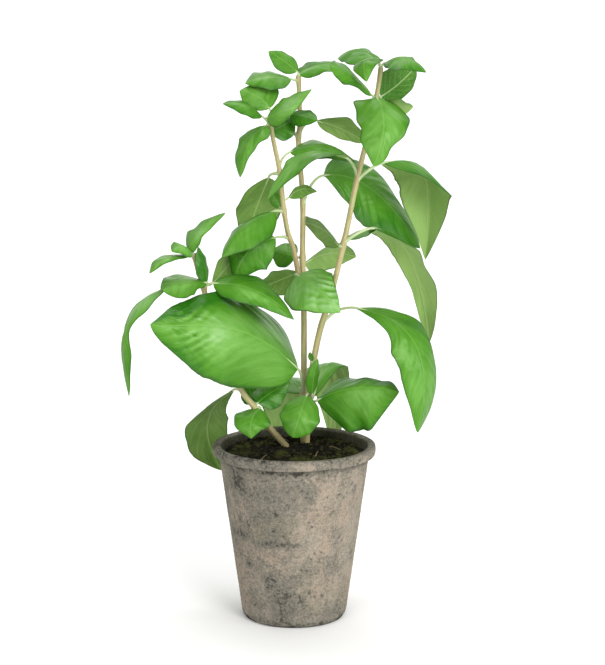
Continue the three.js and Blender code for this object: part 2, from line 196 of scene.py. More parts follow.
def ramp(tree, value, low, high, toLow=0.0, toHigh=1.0):
    return node(tree, "ShaderNodeMapRange", {
        "Value": value, "From Min": low, "From Max": high, "To Min": toLow, "To Max": toHigh,
    }, interpolation_type="SMOOTHSTEP")["Result"]


def blend(tree, mask, below, above, kind="MIX"):
    colours = {"Factor": mask, 6: below, 7: above}
    return node(tree, "ShaderNodeMix", colours, data_type="RGBA", blend_type=kind)[2]


def tint(tree, below, mask, amount, above):
    return blend(tree, times(tree, mask, amount), below, above)


def layer(tree, below, value, low, high, above, amount=1.0):
    # lays a colour over another as the value rises from low to high
    return blend(tree, ramp(tree, value, low, high, 0.0, amount), below, above)


def noise(tree, place, scale, detail=3.0, rough=0.55, warp=0.0):
    return node(tree, "ShaderNodeTexNoise", {
        "Vector": place, "Scale": scale, "Detail": detail, "Roughness": rough, "Distortion": warp,
    })["Fac"]


def mark(tree, name, output="Fac"):
    return node(tree, "ShaderNodeAttribute", {}, attribute_name=name)[output]


def split(tree, vector):
    return node(tree, "ShaderNodeSeparateXYZ", {0: vector}).values()


def stretched(tree, place, scale):
    return node(tree, "ShaderNodeMapping", {"Vector": place, "Scale": scale})[0]


def bump(tree, height, strength, distance):
    heights = {"Height": height, "Strength": strength, "Distance": distance}
    return node(tree, "ShaderNodeBump", heights)["Normal"]


def newGroup(name, inputs, outputs):
    # an input without a value is a vector, and all else is a number
    group = bpy.data.node_groups.new(name, "ShaderNodeTree")
    for label, value in inputs.items():
        kind = "NodeSocketVector" if value is None else "NodeSocketFloat"
        socket = group.interface.new_socket(label, in_out="INPUT", socket_type=kind)
        if value is not None:
            socket.default_value = value
    for label in outputs:
        group.interface.new_socket(label, in_out="OUTPUT", socket_type="NodeSocketFloat")
    return group, group.nodes.new("NodeGroupInput").outputs, group.nodes.new("NodeGroupOutput")


def useGroup(tree, group, inputs):
    made = tree.nodes.new("ShaderNodeGroup")
    made.node_tree = group
    feed(tree, made, inputs)
    return made.outputs


# Lumps and grain that soil, clay and stems share: a broad cloud and a fine grain, both 0 to 1
def buildGrain():
    group, given, made = newGroup(
        "cloudAndGrain", {"Place": None, "Cloud Scale": 40.0, "Grain Scale": 400.0},
        ["Cloud", "Grain"])
    feed(group, made, {
        "Cloud": noise(group, given["Place"], given["Cloud Scale"], 5.0, 0.6),
        "Grain": noise(group, given["Place"], given["Grain Scale"], 4.0, 0.6),
    })
    return group


grainGroup = buildGrain()


# Leaf material

leafLook = {
    "upper": {
        "dark": (0.014, 0.112, 0.002),
        # lighter colours, each with the tones between which it comes in
        "lighter": [((0.054, 0.192, 0.010), -0.1, 0.5), ((0.112, 0.288, 0.044), 0.4, 1.0),
                    ((0.215, 0.395, 0.150), 0.9, 1.5)],
        "vein": (0.190, 0.360, 0.085),
        "veins": {"Net": 0.08, "Side Vein": 0.17, "Midrib": 0.30},      # how much they show
        "streaks": 0.75, "rough": 0.34,
    },
    "under": {
        "dark": (0.026, 0.125, 0.004),
        "lighter": [((0.080, 0.185, 0.022), -0.7, 0.1), ((0.255, 0.410, 0.115), -0.1, 1.1)],
        "vein": (0.370, 0.490, 0.210),
        "veins": {"Net": 0.18, "Side Vein": 0.18, "Midrib": 0.50},
        "streaks": 0.5, "rough": 0.62,
    },
    "veinWidth": 0.34,
    "patches": 1.2, "patchScale": 0.022,                # broad patches on both sides
    "clouds": 0.35, "swellingHighlight": 0.12, "edge": 0.22,    # lighter and darker on top, with a painted highlight on the swellings
    "streakStretch": (1.5, 0.05, 0.2),                  # streaks run with the side veins
    "margin": (0.024, 0.070, 0.014), "marginStrength": 0.80,
    "glossClouds": 0.25, "grainScale": 1.6, "bump": 0.30,
    "reflects": 0.30, "reflection": (0.80, 1.0, 0.62),
}


# Veins over a leaf from the marks on its mesh: how near the midrib, a side vein and the fine net
def buildVeins():
    group, given, made = newGroup(
        "leafVeins", {"Vein Place": None, "Leaf Place": None, "Width": 0.4},
        ["Midrib", "Side Vein", "Net", "Cloud"])
    phase, fromMidrib, spacing = split(group, given["Vein Place"])
    across = maths(group, "ABSOLUTE", fromMidrib)
    toVein = times(group, maths(group, "PINGPONG", phase, 0.5), spacing)
    midrib, side = (maths(group, "DIVIDE", away, given["Width"]) for away in (across, toVein))
    sideVein = ramp(group, side, 0.25, 1.3, 1.0, 0.0)
    cell = node(group, "ShaderNodeTexVoronoi", {"Vector": given["Leaf Place"], "Scale": 0.42},
                feature="DISTANCE_TO_EDGE")["Distance"]
    net = ramp(group, cell, 0.0, 0.13, 1.0, 0.0)
    feed(group, made, {
        "Midrib": ramp(group, midrib, 1.0, 2.4, 1.0, 0.0),
        "Side Vein": times(group, sideVein, ramp(group, across, 0.4, 1.5)),
        "Net": times(group, net, noise(group, given["Leaf Place"], 0.35, 2.0, 0.5)),
        "Cloud": noise(group, given["Leaf Place"], 0.07),
    })
    return group


veinGroup = buildVeins()


def sideColour(tree, look, tone, veins):
    # the colour of one side of the leaf, lighter as its tone rises, with the veins over it
    colour = look["dark"]
    for lighter, low, high in look["lighter"]:
        colour = layer(tree, colour, tone, low, high, lighter)
    for vein, amount in look["veins"].items():
        colour = tint(tree, colour, veins[vein], amount, look["vein"])
    return colour


def leafMaterial():
    material, tree, shader = newMaterial("basilLeaf")
    look = leafLook
    upper, under = look["upper"], look["under"]
    leafPlace = mark(tree, "leafPlace", "Vector")
    veinPlace = mark(tree, "veinPlace", "Vector")
    # the tone mark holds each leaf's tone with its painted shade, sheen and crease light and shade
    tone, margin, bulge = split(tree, mark(tree, "leafTone", "Vector"))
    side = mark(tree, "leafSide")
    veins = useGroup(tree, veinGroup, {
        "Vein Place": veinPlace, "Leaf Place": leafPlace, "Width": look["veinWidth"],
    })
    patches = noise(tree, leafPlace, look["patchScale"], 2.0, 0.5, 0.3)
    streaks = noise(tree, stretched(tree, veinPlace, look["streakStretch"]), 1.0, 3.0, 0.6, 0.4)
    mottled = vary(tree, tone, patches, look["patches"])
    pale = vary(tree, mottled, streaks, under["streaks"])
    lively = vary(tree, mottled, veins["Cloud"], look["clouds"])
    lively = vary(tree, lively, streaks, upper["streaks"])
    # painted highlight on the swellings between the veins
    lively = plus(tree, lively, bulge, look["swellingHighlight"])
    edge = ramp(tree, margin, 0.55, 1.0, 0.0, look["edge"])
    lively = maths(tree, "SUBTRACT", lively, edge)
    colour = blend(tree, side, sideColour(tree, under, pale, veins),
                   sideColour(tree, upper, lively, veins))
    colour = layer(tree, colour, margin, 0.91, 0.99, look["margin"], look["marginStrength"])
    gloss = plus(tree, under["rough"], side, upper["rough"] - under["rough"])
    grain = noise(tree, leafPlace, look["grainScale"], 2.0)
    height = plus(tree, times(tree, grain, 0.4), veins["Net"], -0.4)
    feed(tree, shader, {
        "Base Color": colour,
        "Roughness": vary(tree, gloss, veins["Cloud"], look["glossClouds"]),
        "Normal": bump(tree, height, look["bump"], 0.0003),
        "Specular IOR Level": look["reflects"],
        "Specular Tint": look["reflection"],
    })
    return material


# Leaves

bladeShape = {
    "fold": -10, "widest": 0.42, "point": 0.85, "droop": 0.12,   # as in the solids
    "ruffle": 0.045, "outlineWave": 0.035, "waves": 2.5, "swayRate": 10.4, "lobeRate": 23,
    "softFold": 0.12,       # rounds the fold along the midrib
    "thickness": 0.5, "marginThickness": 0.22,
    "cell": 1.15,           # mesh spacing
    "rows": [26, 110], "halfColumns": [8, 30],      # fewest and most mesh cells
    "fullSize": 70,         # a leaf this long has its reliefs in full height
    "pucker": 0.0042,       # swelling between side veins, as a share of the leaf's length
    "lumps": 0.75,          # uneven swellings on a large leaf
    "frill": 0.7,           # unevenness of the margin, up and down
    "ragged": 0.55,         # small bays along the margin
    "groove": 0.30, "sideGroove": 0.16,             # on the upper side
    "rib": 0.9, "sideRib": 0.22,                    # on the underside
    "crumple": 6.0,         # reach of the crumples
    "veins": [4, 8], "veinEvery": 20,               # fewest and most side veins, one in so many mm
    "veinSlant": 0.46, "veinDrift": 0.30, "veinShift": 0.38,
    # how far each unevenness reaches across and along
    "driftAcross": 15, "driftAlong": 20, "bulgeAcross": 14, "bulgeAlong": 16,
    "lumpAcross": 12, "lumpAlong": 6.0, "frillAcross": 14, "frillAlong": 6.5,
    "bayAlong": 4, "arcUneven": 9,
}

# What one leaf can have of its own. Places along it run from 0 at the base to 1 at the tip, and
# places across it from -1 at the left margin to 1 at the right one.
usualLeaf = {
    "fold": bladeShape["fold"],         # degrees that each half lifts, less than 0 droops
    "widest": bladeShape["widest"],     # place along
    "point": bladeShape["point"],       # less is blunter
    "bend": 0.55,                       # how far the stalk keeps the leaf's own direction
    "twist": 0,                         # degrees, back at the base and on at the tip
    "sway": [0, 0, 0],                  # bends the midrib into an S
    "lobe": 0,                          # right base lobe, drawn back
    "ruffle": bladeShape["ruffle"],
    "left": [1] * 5, "right": [1] * 5,  # width of each half at five places along
    "tone": 0.5,                        # upper side, 0 dark to 1 bright: each leaf's own green, with painted shade on leaves that lie in shade
    "pale": None,                       # underside, like tone unless it is given, and lighter on some undersides that lie in shade: painted light
    "shade": [0, 0],                    # painted shade: darkens the outer part of the left and the right half, where it turns from the light
    "glow": [0, 0.5, 0, 0.3],           # a painted sheen, a lighter patch: strength, along, across, spread
    "pucker": 1.0,                      # share of the usual swellings
    "crumple": [0.15, 0.55, 0.3, 0],    # height, along, spread, across
    # curved ridges: height, along, across, reach, spacing, and from there their centre
    "arcs": [0, 0.5, 0, 10, 5, 0, 20],
}


def leaf(height, base, middle, tip, face, width, **own):
    # height is where its stalk leaves the stem, and face is where its upper side looks
    made = {**usualLeaf, **own, "height": height, "width": width, "face": unit(arr(face)),
            "base": arr(base), "middle": arr(middle), "tip": arr(tip)}
    made["sway"] = arr(made["sway"])
    if made["pale"] is None:
        made["pale"] = made["tone"]
    return made


def midrib(blade, s):
    s = np.asarray(s, dtype=float)[..., None]
    return (blade["base"] * (1 - s) * (1 - 2 * s) + blade["middle"] * 4 * s * (1 - s)
            + blade["tip"] * s * (2 * s - 1)
            + blade["sway"] * bladeShape["swayRate"] * s * (1 - s) * (1 - 2 * s))


def midribDirection(blade, s):
    s = np.asarray(s, dtype=float)[..., None]
    return unit(blade["base"] * (4 * s - 3) + blade["middle"] * (4 - 8 * s)
                + blade["tip"] * (4 * s - 1)
                + blade["sway"] * bladeShape["swayRate"] * (1 - 6 * s + 6 * s * s))


def eased(values, s):
    # a value eased between five places spread evenly from base to tip
    values = arr(values)
    place = np.clip(s, 0, 1) * 4
    k = np.minimum(place.astype(int), 3)
    return values[k] + (values[k + 1] - values[k]) * smooth(0, 1, place - k)


def outline(blade, s):
    rise = blade["point"] * blade["widest"] / (1 - blade["widest"])
    peak = blade["widest"] ** rise * (1 - blade["widest"]) ** blade["point"]
    return s ** rise * (1 - s) ** blade["point"] / peak


def bladeForm(blade, s, t):
    # the leaf's middle surface, the same as in the solids: s along the midrib, t across
    shape = bladeShape
    along = midribDirection(blade, s)
    level = unit(np.cross(unit(blade["tip"] - blade["base"]), blade["face"]))
    across = unit(level - along * (along @ level)[..., None])
    turn = np.radians(blade["twist"] * (2 * s - 1))[..., None]
    across = across * np.cos(turn) + np.cross(across, along) * np.sin(turn)
    normal = np.cross(across, along)
    swing = fullTurn * shape["waves"] * s + np.where(t > 0, 0, math.pi / 2) + blade["width"]
    half = blade["width"] / 2 * outline(blade, s) * (1 + shape["outlineWave"] * np.sin(swing + 1))
    half = half * np.where(t > 0, eased(blade["right"], s), eased(blade["left"], s))
    fold = math.radians(blade["fold"])
    soft = shape["softFold"]
    folded = (np.sqrt(t * t + soft * soft) - soft) / (math.sqrt(1 + soft * soft) - soft)
    lift = folded * math.sin(fold) - shape["droop"] * t * t
    wave = blade["ruffle"] * t * t * np.sin(swing) * np.sin(math.pi * s)
    back = np.where(t > 0, shape["lobeRate"] * blade["lobe"] * t * t * s * (1 - s) ** 8, 0)
    place = (midrib(blade, s) + across * (half * t * math.cos(fold))[..., None]
             - along * back[..., None])
    return place + normal * (half * lift + blade["width"] / 2 * wave)[..., None], normal, half


def creases(blade, s, t, alongMm, acrossMm, length, inner, seed):
    # crumples and curved ridges: their height, and painted light and shade that follow it, lighter
    # on the crests and darker in the troughs
    strength, centre, spread, aside = blade["crumple"]
    reach = bladeShape["crumple"]
    crumpled = np.sin(8 * ripple(alongMm / reach, 1.4 * acrossMm / reach, seed + 90, 3))
    crumples = strength * hump(s - centre, spread, t - aside, 0.75) * inner * crumpled
    ridge, along, across, reach, spacing, centreAlong, centreAcross = blade["arcs"]
    fromAlong, fromAcross = alongMm - along * length, acrossMm - across * blade["width"] / 2
    ring = np.hypot(fromAlong - centreAlong, fromAcross - centreAcross)
    broad = bladeShape["arcUneven"]
    uneven = 1.3 * ripple(alongMm / broad, acrossMm / broad, seed + 210, 3)
    arcs = (ridge * hump(fromAlong, reach, fromAcross, reach) * inner
            * np.sin(fullTurn * ring / spacing + uneven))
    return crumples + arcs, 0.35 * crumples + 0.5 * arcs


def sheetFaces(rows, columns):
    # faces of a blade's upper side, underside and rim, whose base and tip are single points
    perSide = 2 + (rows - 1) * (columns + 1)

    def at(i, j):
        return 0 if i == 0 else perSide - 1 if i == rows else 1 + (i - 1) * (columns + 1) + j

    upper = []
    for j in range(columns):
        upper.append((at(0, 0), at(1, j + 1), at(1, j)))
        upper.append((at(rows, 0), at(rows - 1, j), at(rows - 1, j + 1)))
        for i in range(1, rows - 1):
            upper.append((at(i, j), at(i, j + 1), at(i + 1, j + 1), at(i + 1, j)))
    under = [tuple(k + perSide for k in reversed(face)) for face in upper]
    rim = []
    for i in range(rows):
        for j, flip in ((0, False), (columns, True)):
            a, b = (at(i + 1, j), at(i, j)) if flip else (at(i, j), at(i + 1, j))
            rim.append(tuple(dict.fromkeys((a + perSide, a, b, b + perSide))))
    return upper + under + rim


def bladeInto(pile, blade, seed):
    shape = bladeShape
    line = midrib(blade, np.linspace(0, 1, 40))
    length = np.linalg.norm(np.diff(line, axis=0), axis=1).sum()
    rows = int(np.clip(length / shape["cell"], *shape["rows"]))
    columns = 2 * int(np.clip(blade["width"] / shape["cell"] / 2, *shape["halfColumns"]))
    u, w = np.linspace(0, 1, rows + 1), np.linspace(-1, 1, columns + 1)
    sLine = 0.5 * u + 0.25 * (1 - np.cos(math.pi * u))
    tLine = np.sign(w) * np.abs(w) ** 1.2
    s, t = np.meshgrid(sLine, tLine, indexing="ij")
    place, normal, half = bladeForm(blade, s, t)
    acrossMm, alongMm = half * t, s * length
    out, isRight = np.abs(t), t > 0
    arch = np.sin(math.pi * np.clip(s, 0, 1))
    size = min(1.0, length / shape["fullSize"])
    # side veins slant towards the tip, drift a little, and stand apart left and right
    veins = np.clip(round(3 + length / shape["veinEvery"]), *shape["veins"])
    slanted = s - shape["veinSlant"] * out ** 1.3 * (1 - 0.5 * s)
    drift = ripple(acrossMm / shape["driftAcross"], alongMm / shape["driftAlong"], seed + 300)
    drift = shape["veinDrift"] * drift * smooth(0.05, 0.5, out)
    phase = slanted * (veins + 1) + np.where(isRight, shape["veinShift"], 0.0) + drift
    spacing = length / (veins + 1)
    toVein = np.abs((phase + 0.5) % 1 - 0.5)
    # swellings between the veins, fading out at the midrib, margin, base and tip
    inner = (smooth(0.04, 0.30, out) * (1 - smooth(0.82, 1.0, out))
             * smooth(0, 0.12, s) * (1 - smooth(0.8, 1.0, s)))
    bulge = np.sin(math.pi * np.clip(toVein, 0, 0.5)) ** 0.8 * inner
    uneven = ripple(acrossMm / shape["bulgeAcross"], alongMm / shape["bulgeAlong"], seed + 500)
    bulge = bulge * (0.7 + 0.5 * uneven)
    lumps = ripple(phase * spacing / shape["lumpAlong"], acrossMm / shape["lumpAcross"], seed)
    lumps = lumps * inner
    swelling = bulge * shape["pucker"] * length + lumps * shape["lumps"] * size
    creased, creaseLightAndShade = creases(blade, s, t, alongMm, acrossMm, length, inner, seed)
    # an uneven margin, sideways and up and down
    outward = unit(np.gradient(place, axis=1) + 1e-9)
    bays = ripple(alongMm / shape["bayAlong"] + np.where(isRight, 50, 0), t * 0, seed + 130)
    aside = shape["ragged"] * size * bays * out ** 4 * np.sign(t) * arch ** 0.6
    place = place + outward * (aside * np.minimum(1, half / 6))[..., None]
    frill = ripple(alongMm / shape["frillAlong"] + np.where(isRight, 20, 0),
                   acrossMm / shape["frillAcross"], seed + 60)
    frill = shape["frill"] * size * frill * out ** 3 * arch
    relief = swelling * blade["pucker"] + creased + frill
    # grooves on top, ribs below, and a sheet that thins towards its margin
    taper = (1 - s) ** 0.5
    groove = shape["groove"] * size * hump(acrossMm, 0.75 * size + 0.2) * taper
    sideGroove = shape["sideGroove"] * size * hump(toVein * spacing, 0.7) * inner
    rib = shape["rib"] * size * hump(acrossMm, 0.8 * size + 0.25) * taper
    rib = rib * smooth(0, 0.02, s + 0.01)
    sideRib = shape["sideRib"] * size * hump(toVein * spacing, 0.6) * inner
    thin = shape["marginThickness"]
    thick = shape["thickness"] * (0.6 + 0.4 * size)
    ends = np.sin(math.pi * np.clip(s, 0.02, 0.98)) ** 0.3
    sheet = thin + (thick - thin) * (1 - out ** 4) * ends
    top = relief - groove - sideGroove + sheet / 2
    bottom = relief - sheet / 2 - rib - sideRib

    def packed(*values):
        grid = np.stack(values, -1) if len(values) > 1 else values[0]
        body = grid[1:-1].reshape(-1, *grid.shape[2:])
        return np.concatenate([grid[0, :1], body, grid[-1, :1]])

    # marks for the leaf material
    # painted shade on the outer part of each half that turns from the light, fading out towards the
    # base
    shade = np.where(isRight, blade["shade"][1], blade["shade"][0])
    shade = shade * smooth(0.2, 0.9, out) * smooth(0, 0.65, s)
    # a painted sheen: a lighter patch where the leaf would catch the light
    glow, sheenAlong, sheenAcross, spread = blade["glow"]
    sheenPatch = glow * hump(s - sheenAlong, spread, t - sheenAcross, 1.6 * spread)
    flat = np.ones_like(s)
    veinPlace = packed(phase, acrossMm / (0.35 + 0.65 * taper), flat * spacing)
    leafPlace = packed(alongMm, acrossMm, flat * seed * 37.0)
    # upper tone: the leaf's tone with painted shade, the painted shade of its halves, the painted
    # sheen and the painted light and shade of the creases
    upperTone = packed(blade["tone"] + creaseLightAndShade - shade + sheenPatch, out, bulge)
    underTone = packed(flat * blade["pale"], out, bulge)
    upper, under = (packed(place + normal * lift[..., None]) for lift in (top, bottom))
    pile.add(
        np.concatenate([upper, under]), sheetFaces(rows, columns),
        veinPlace=np.tile(veinPlace, (2, 1)), leafPlace=np.tile(leafPlace, (2, 1)),
        leafTone=np.concatenate([upperTone, underTone]),
        leafSide=np.repeat([1.0, 0.0], len(upper)),
    )


# Stems and stalks

stemShape = {
    "foot": 2.4, "top": 1.5, "branchFoot": 1.9, "branchTop": 1.4,     # radii
    "sides": 20, "square": 0.05,
    "node": 0.484, "nodeReach": 3.2, "thickest": 1.12,                 # swelling at a leaf pair
}
stalkShape = {
    "foot": 1.35, "end": 0.85, "sides": 10, "collar": 0.5, "collarReach": 2.2,
    # it runs on in the midrib: places along the leaf, how deep, and how thick
    "onward": [0.03, 0.07, 0.12], "deep": [0.3, 0.6, 0.8], "thin": [0.85, 0.6, 0.3],
}
hairShape = {
    "perMm": 7, "short": 0.35, "long": 0.85, "root": 0.05, "lean": 0.5, "sunk": 0.12,
    "above": 124,           # none in the soil
}
barkMark = {"stem": 0.5, "stalk": 2.0, "hair": 5.0}     # tells them apart in their material


def curvePoints(line, perSpan):
    # centripetal Catmull-Rom through the points, as in the solids
    points = arr(line)
    points = np.vstack([2 * points[0] - points[1], points, 2 * points[-1] - points[-2]])
    made = []
    for i in range(1, len(points) - 2):
        p0, p1, p2, p3 = points[i - 1:i + 3]
        d0, d1, d2 = (max(np.linalg.norm(b - a), 1e-6) ** 0.5
                      for a, b in ((p0, p1), (p1, p2), (p2, p3)))
        m1 = ((p1 - p0) / d0 - (p2 - p0) / (d0 + d1) + (p2 - p1) / d1) * d1
        m2 = ((p2 - p1) / d1 - (p3 - p1) / (d1 + d2) + (p3 - p2) / d2) * d1
        for k in range(perSpan + (i == len(points) - 3)):
            x = k / perSpan
            made.append(p1 + m1 * x + (-3 * p1 + 3 * p2 - 2 * m1 - m2) * x ** 2
                        + (2 * p1 - 2 * p2 + m1 + m2) * x ** 3)
    return arr(made)


def wayAlong(points):
    return np.concatenate([[0], np.cumsum(np.linalg.norm(np.diff(points, axis=0), axis=1))])


def tubeInto(pile, points, radii, sides, kind, square=0.0):
    points = arr(points)
    tangents = unit(np.gradient(points, axis=0))
    side = arr([1, 0, 0]) if abs(tangents[0][2]) > 0.9 else arr([0, 0, 1])
    travelled = wayAlong(points)
    turns = np.arange(sides) * fullTurn / sides
    profile = 1 + square * np.cos(4 * turns)
    verts, marks = [], []
    for point, tangent, radius, way in zip(points, tangents, radii, travelled):
        side = unit(side - tangent * side.dot(tangent))
        other = np.cross(tangent, side)
        around = np.cos(turns)[:, None] * side + np.sin(turns)[:, None] * other
        verts.append(point + (radius * profile)[:, None] * around)
        marks.append(np.stack([np.full(sides, way), turns * radius, np.full(sides, kind)], -1))
    last = (len(points) - 1) * sides
    caps = [tuple(range(sides - 1, -1, -1)), tuple(range(last, last + sides))]
    faces = ringFaces(len(points), sides) + caps
    pile.add(np.concatenate(verts), faces, barkPlace=np.concatenate(marks))


def hairsInto(pile, points, radii, seed):
    # fine pale hairs, each a thin closed spike with its root sunk into the bark
    shape = hairShape
    rng = np.random.default_rng(seed)
    travelled = wayAlong(points)
    count = int(travelled[-1] * shape["perMm"])
    at = rng.uniform(0, travelled[-1], count)
    centre, along = (np.stack([np.interp(at, travelled, column) for column in values.T], -1)
                     for values in (points, unit(np.gradient(points, axis=0))))
    thick = np.interp(at, travelled, radii)[:, None]
    outward = rng.normal(size=(count, 3))
    outward = unit(outward - along * (outward * along).sum(-1, keepdims=True))
    long = rng.uniform(shape["short"], shape["long"], (count, 1))
    root = centre + outward * (thick - shape["sunk"])
    end = centre + outward * (thick + long) + along * long * shape["lean"]
    aside = np.cross(along, outward)
    corners = [root + shape["root"] * (math.cos(turn) * aside + math.sin(turn) * along)
               for turn in (0, fullTurn / 3, 2 * fullTurn / 3)]
    shown = root[:, 2] > shape["above"]
    verts = np.stack([*corners, end], 1)[shown].reshape(-1, 3)
    faces = []
    for k in range(0, len(verts), 4):
        faces += [(k, k + 2, k + 1), (k, k + 1, k + 3), (k + 1, k + 2, k + 3), (k + 2, k, k + 3)]
    pile.add(verts, faces, barkPlace=np.tile([0.0, 0.0, barkMark["hair"]], (len(verts), 1)))


def atHeight(points, height):
    k = int(np.argmax(points[:, 2] >= height)) if points[-1, 2] > height else len(points) - 1
    if k == 0:
        return points[0]
    a, b = points[k - 1], points[k]
    return a + (b - a) * (height - a[2]) / max(b[2] - a[2], 1e-6)


def stemInto(pile, stem, foot, top):
    shape = stemShape
    points = curvePoints(stem["line"], 14)
    radii = foot + (top - foot) * np.linspace(0, 1, len(points))
    swelling = shape["node"] / (1 + 0.25 * len(stem["leaves"]))
    for height in {blade["height"] for blade in stem["leaves"]}:
        radii = radii * (1 + swelling * hump(points[:, 2] - height, shape["nodeReach"]))
    radii = np.minimum(radii, foot * shape["thickest"])
    tubeInto(pile, points, radii, shape["sides"], barkMark["stem"], shape["square"])
    hairsInto(pile, points, radii, len(points))
    return points


def stalkInto(pile, blade, stemPoints):
    shape = stalkShape
    root = atHeight(stemPoints, blade["height"])
    reach = np.linalg.norm(blade["base"] - root)
    bend = blade["base"] - midribDirection(blade, 0.0) * blade["bend"] * reach
    x = np.linspace(0, 1, 14)[:, None]
    way = (1 - x) ** 2 * root + 2 * x * (1 - x) * bend + x ** 2 * blade["base"]
    share = x[:, 0]
    size = min(1.0, 0.55 + blade["width"] / 90)
    radii = (shape["foot"] + (shape["end"] - shape["foot"]) * share ** 0.6) * size
    radii = radii + shape["collar"] * hump(share * reach, shape["collarReach"])
    hairsInto(pile, way, radii, int(blade["width"] * 100 + blade["height"]))
    # under the blade it thins out in the midrib
    under, normal, _ = bladeForm(blade, arr(shape["onward"]), np.zeros(3))
    points = np.vstack([way, under - normal * arr(shape["deep"])[:, None]])
    radii = np.concatenate([radii, radii[-1] * arr(shape["thin"])])
    tubeInto(pile, points, radii, shape["sides"], blade["tone"] + barkMark["stalk"])


stemLook = {
    "bark": (0.375, 0.322, 0.148),
    "barkDark": (0.180, 0.115, 0.045),
    "green": (0.250, 0.340, 0.115),
    "stalk": (0.400, 0.490, 0.260),
    "hair": (0.580, 0.620, 0.460),
    "rough": 0.55,
    "streakStretch": (0.12, 1.0, 1.0), "streakScale": 0.9,
    "cloudScale": 0.06, "grainScale": 1.4, "bump": 0.5,
    "footShade": 0.45, "footReach": (15.0, 60.0),       # darker bark up from the foot
}


def stemMaterial():
    material, tree, shader = newMaterial("basilStem")
    look = stemLook
    place = mark(tree, "barkPlace", "Vector")
    along, _, kind = split(tree, place)
    streak = noise(tree, stretched(tree, place, look["streakStretch"]), look["streakScale"], 4.0)
    grain = useGroup(tree, grainGroup, {
        "Place": place, "Cloud Scale": look["cloudScale"], "Grain Scale": look["grainScale"],
    })
    bark = layer(tree, look["bark"], grain["Cloud"], 0.45, 0.7, look["green"], 0.5)
    bark = layer(tree, bark, streak, 0.52, 0.72, look["barkDark"], 0.6)
    foot = ramp(tree, along, *look["footReach"], look["footShade"], 0.0)
    bark = blend(tree, foot, bark, look["barkDark"])
    stalk = layer(tree, look["stalk"], streak, 0.4, 0.7, look["green"], 0.6)
    colour = layer(tree, bark, kind, 1.4, 1.6, stalk)
    height = plus(tree, streak, grain["Grain"], 0.4)
    feed(tree, shader, {
        "Base Color": layer(tree, colour, kind, 3.4, 3.6, look["hair"]),
        "Roughness": ramp(tree, streak, 0.3, 0.8, look["rough"] - 0.08, look["rough"] + 0.12),
        "Normal": bump(tree, height, look["bump"], 0.0003),
    })
    return material


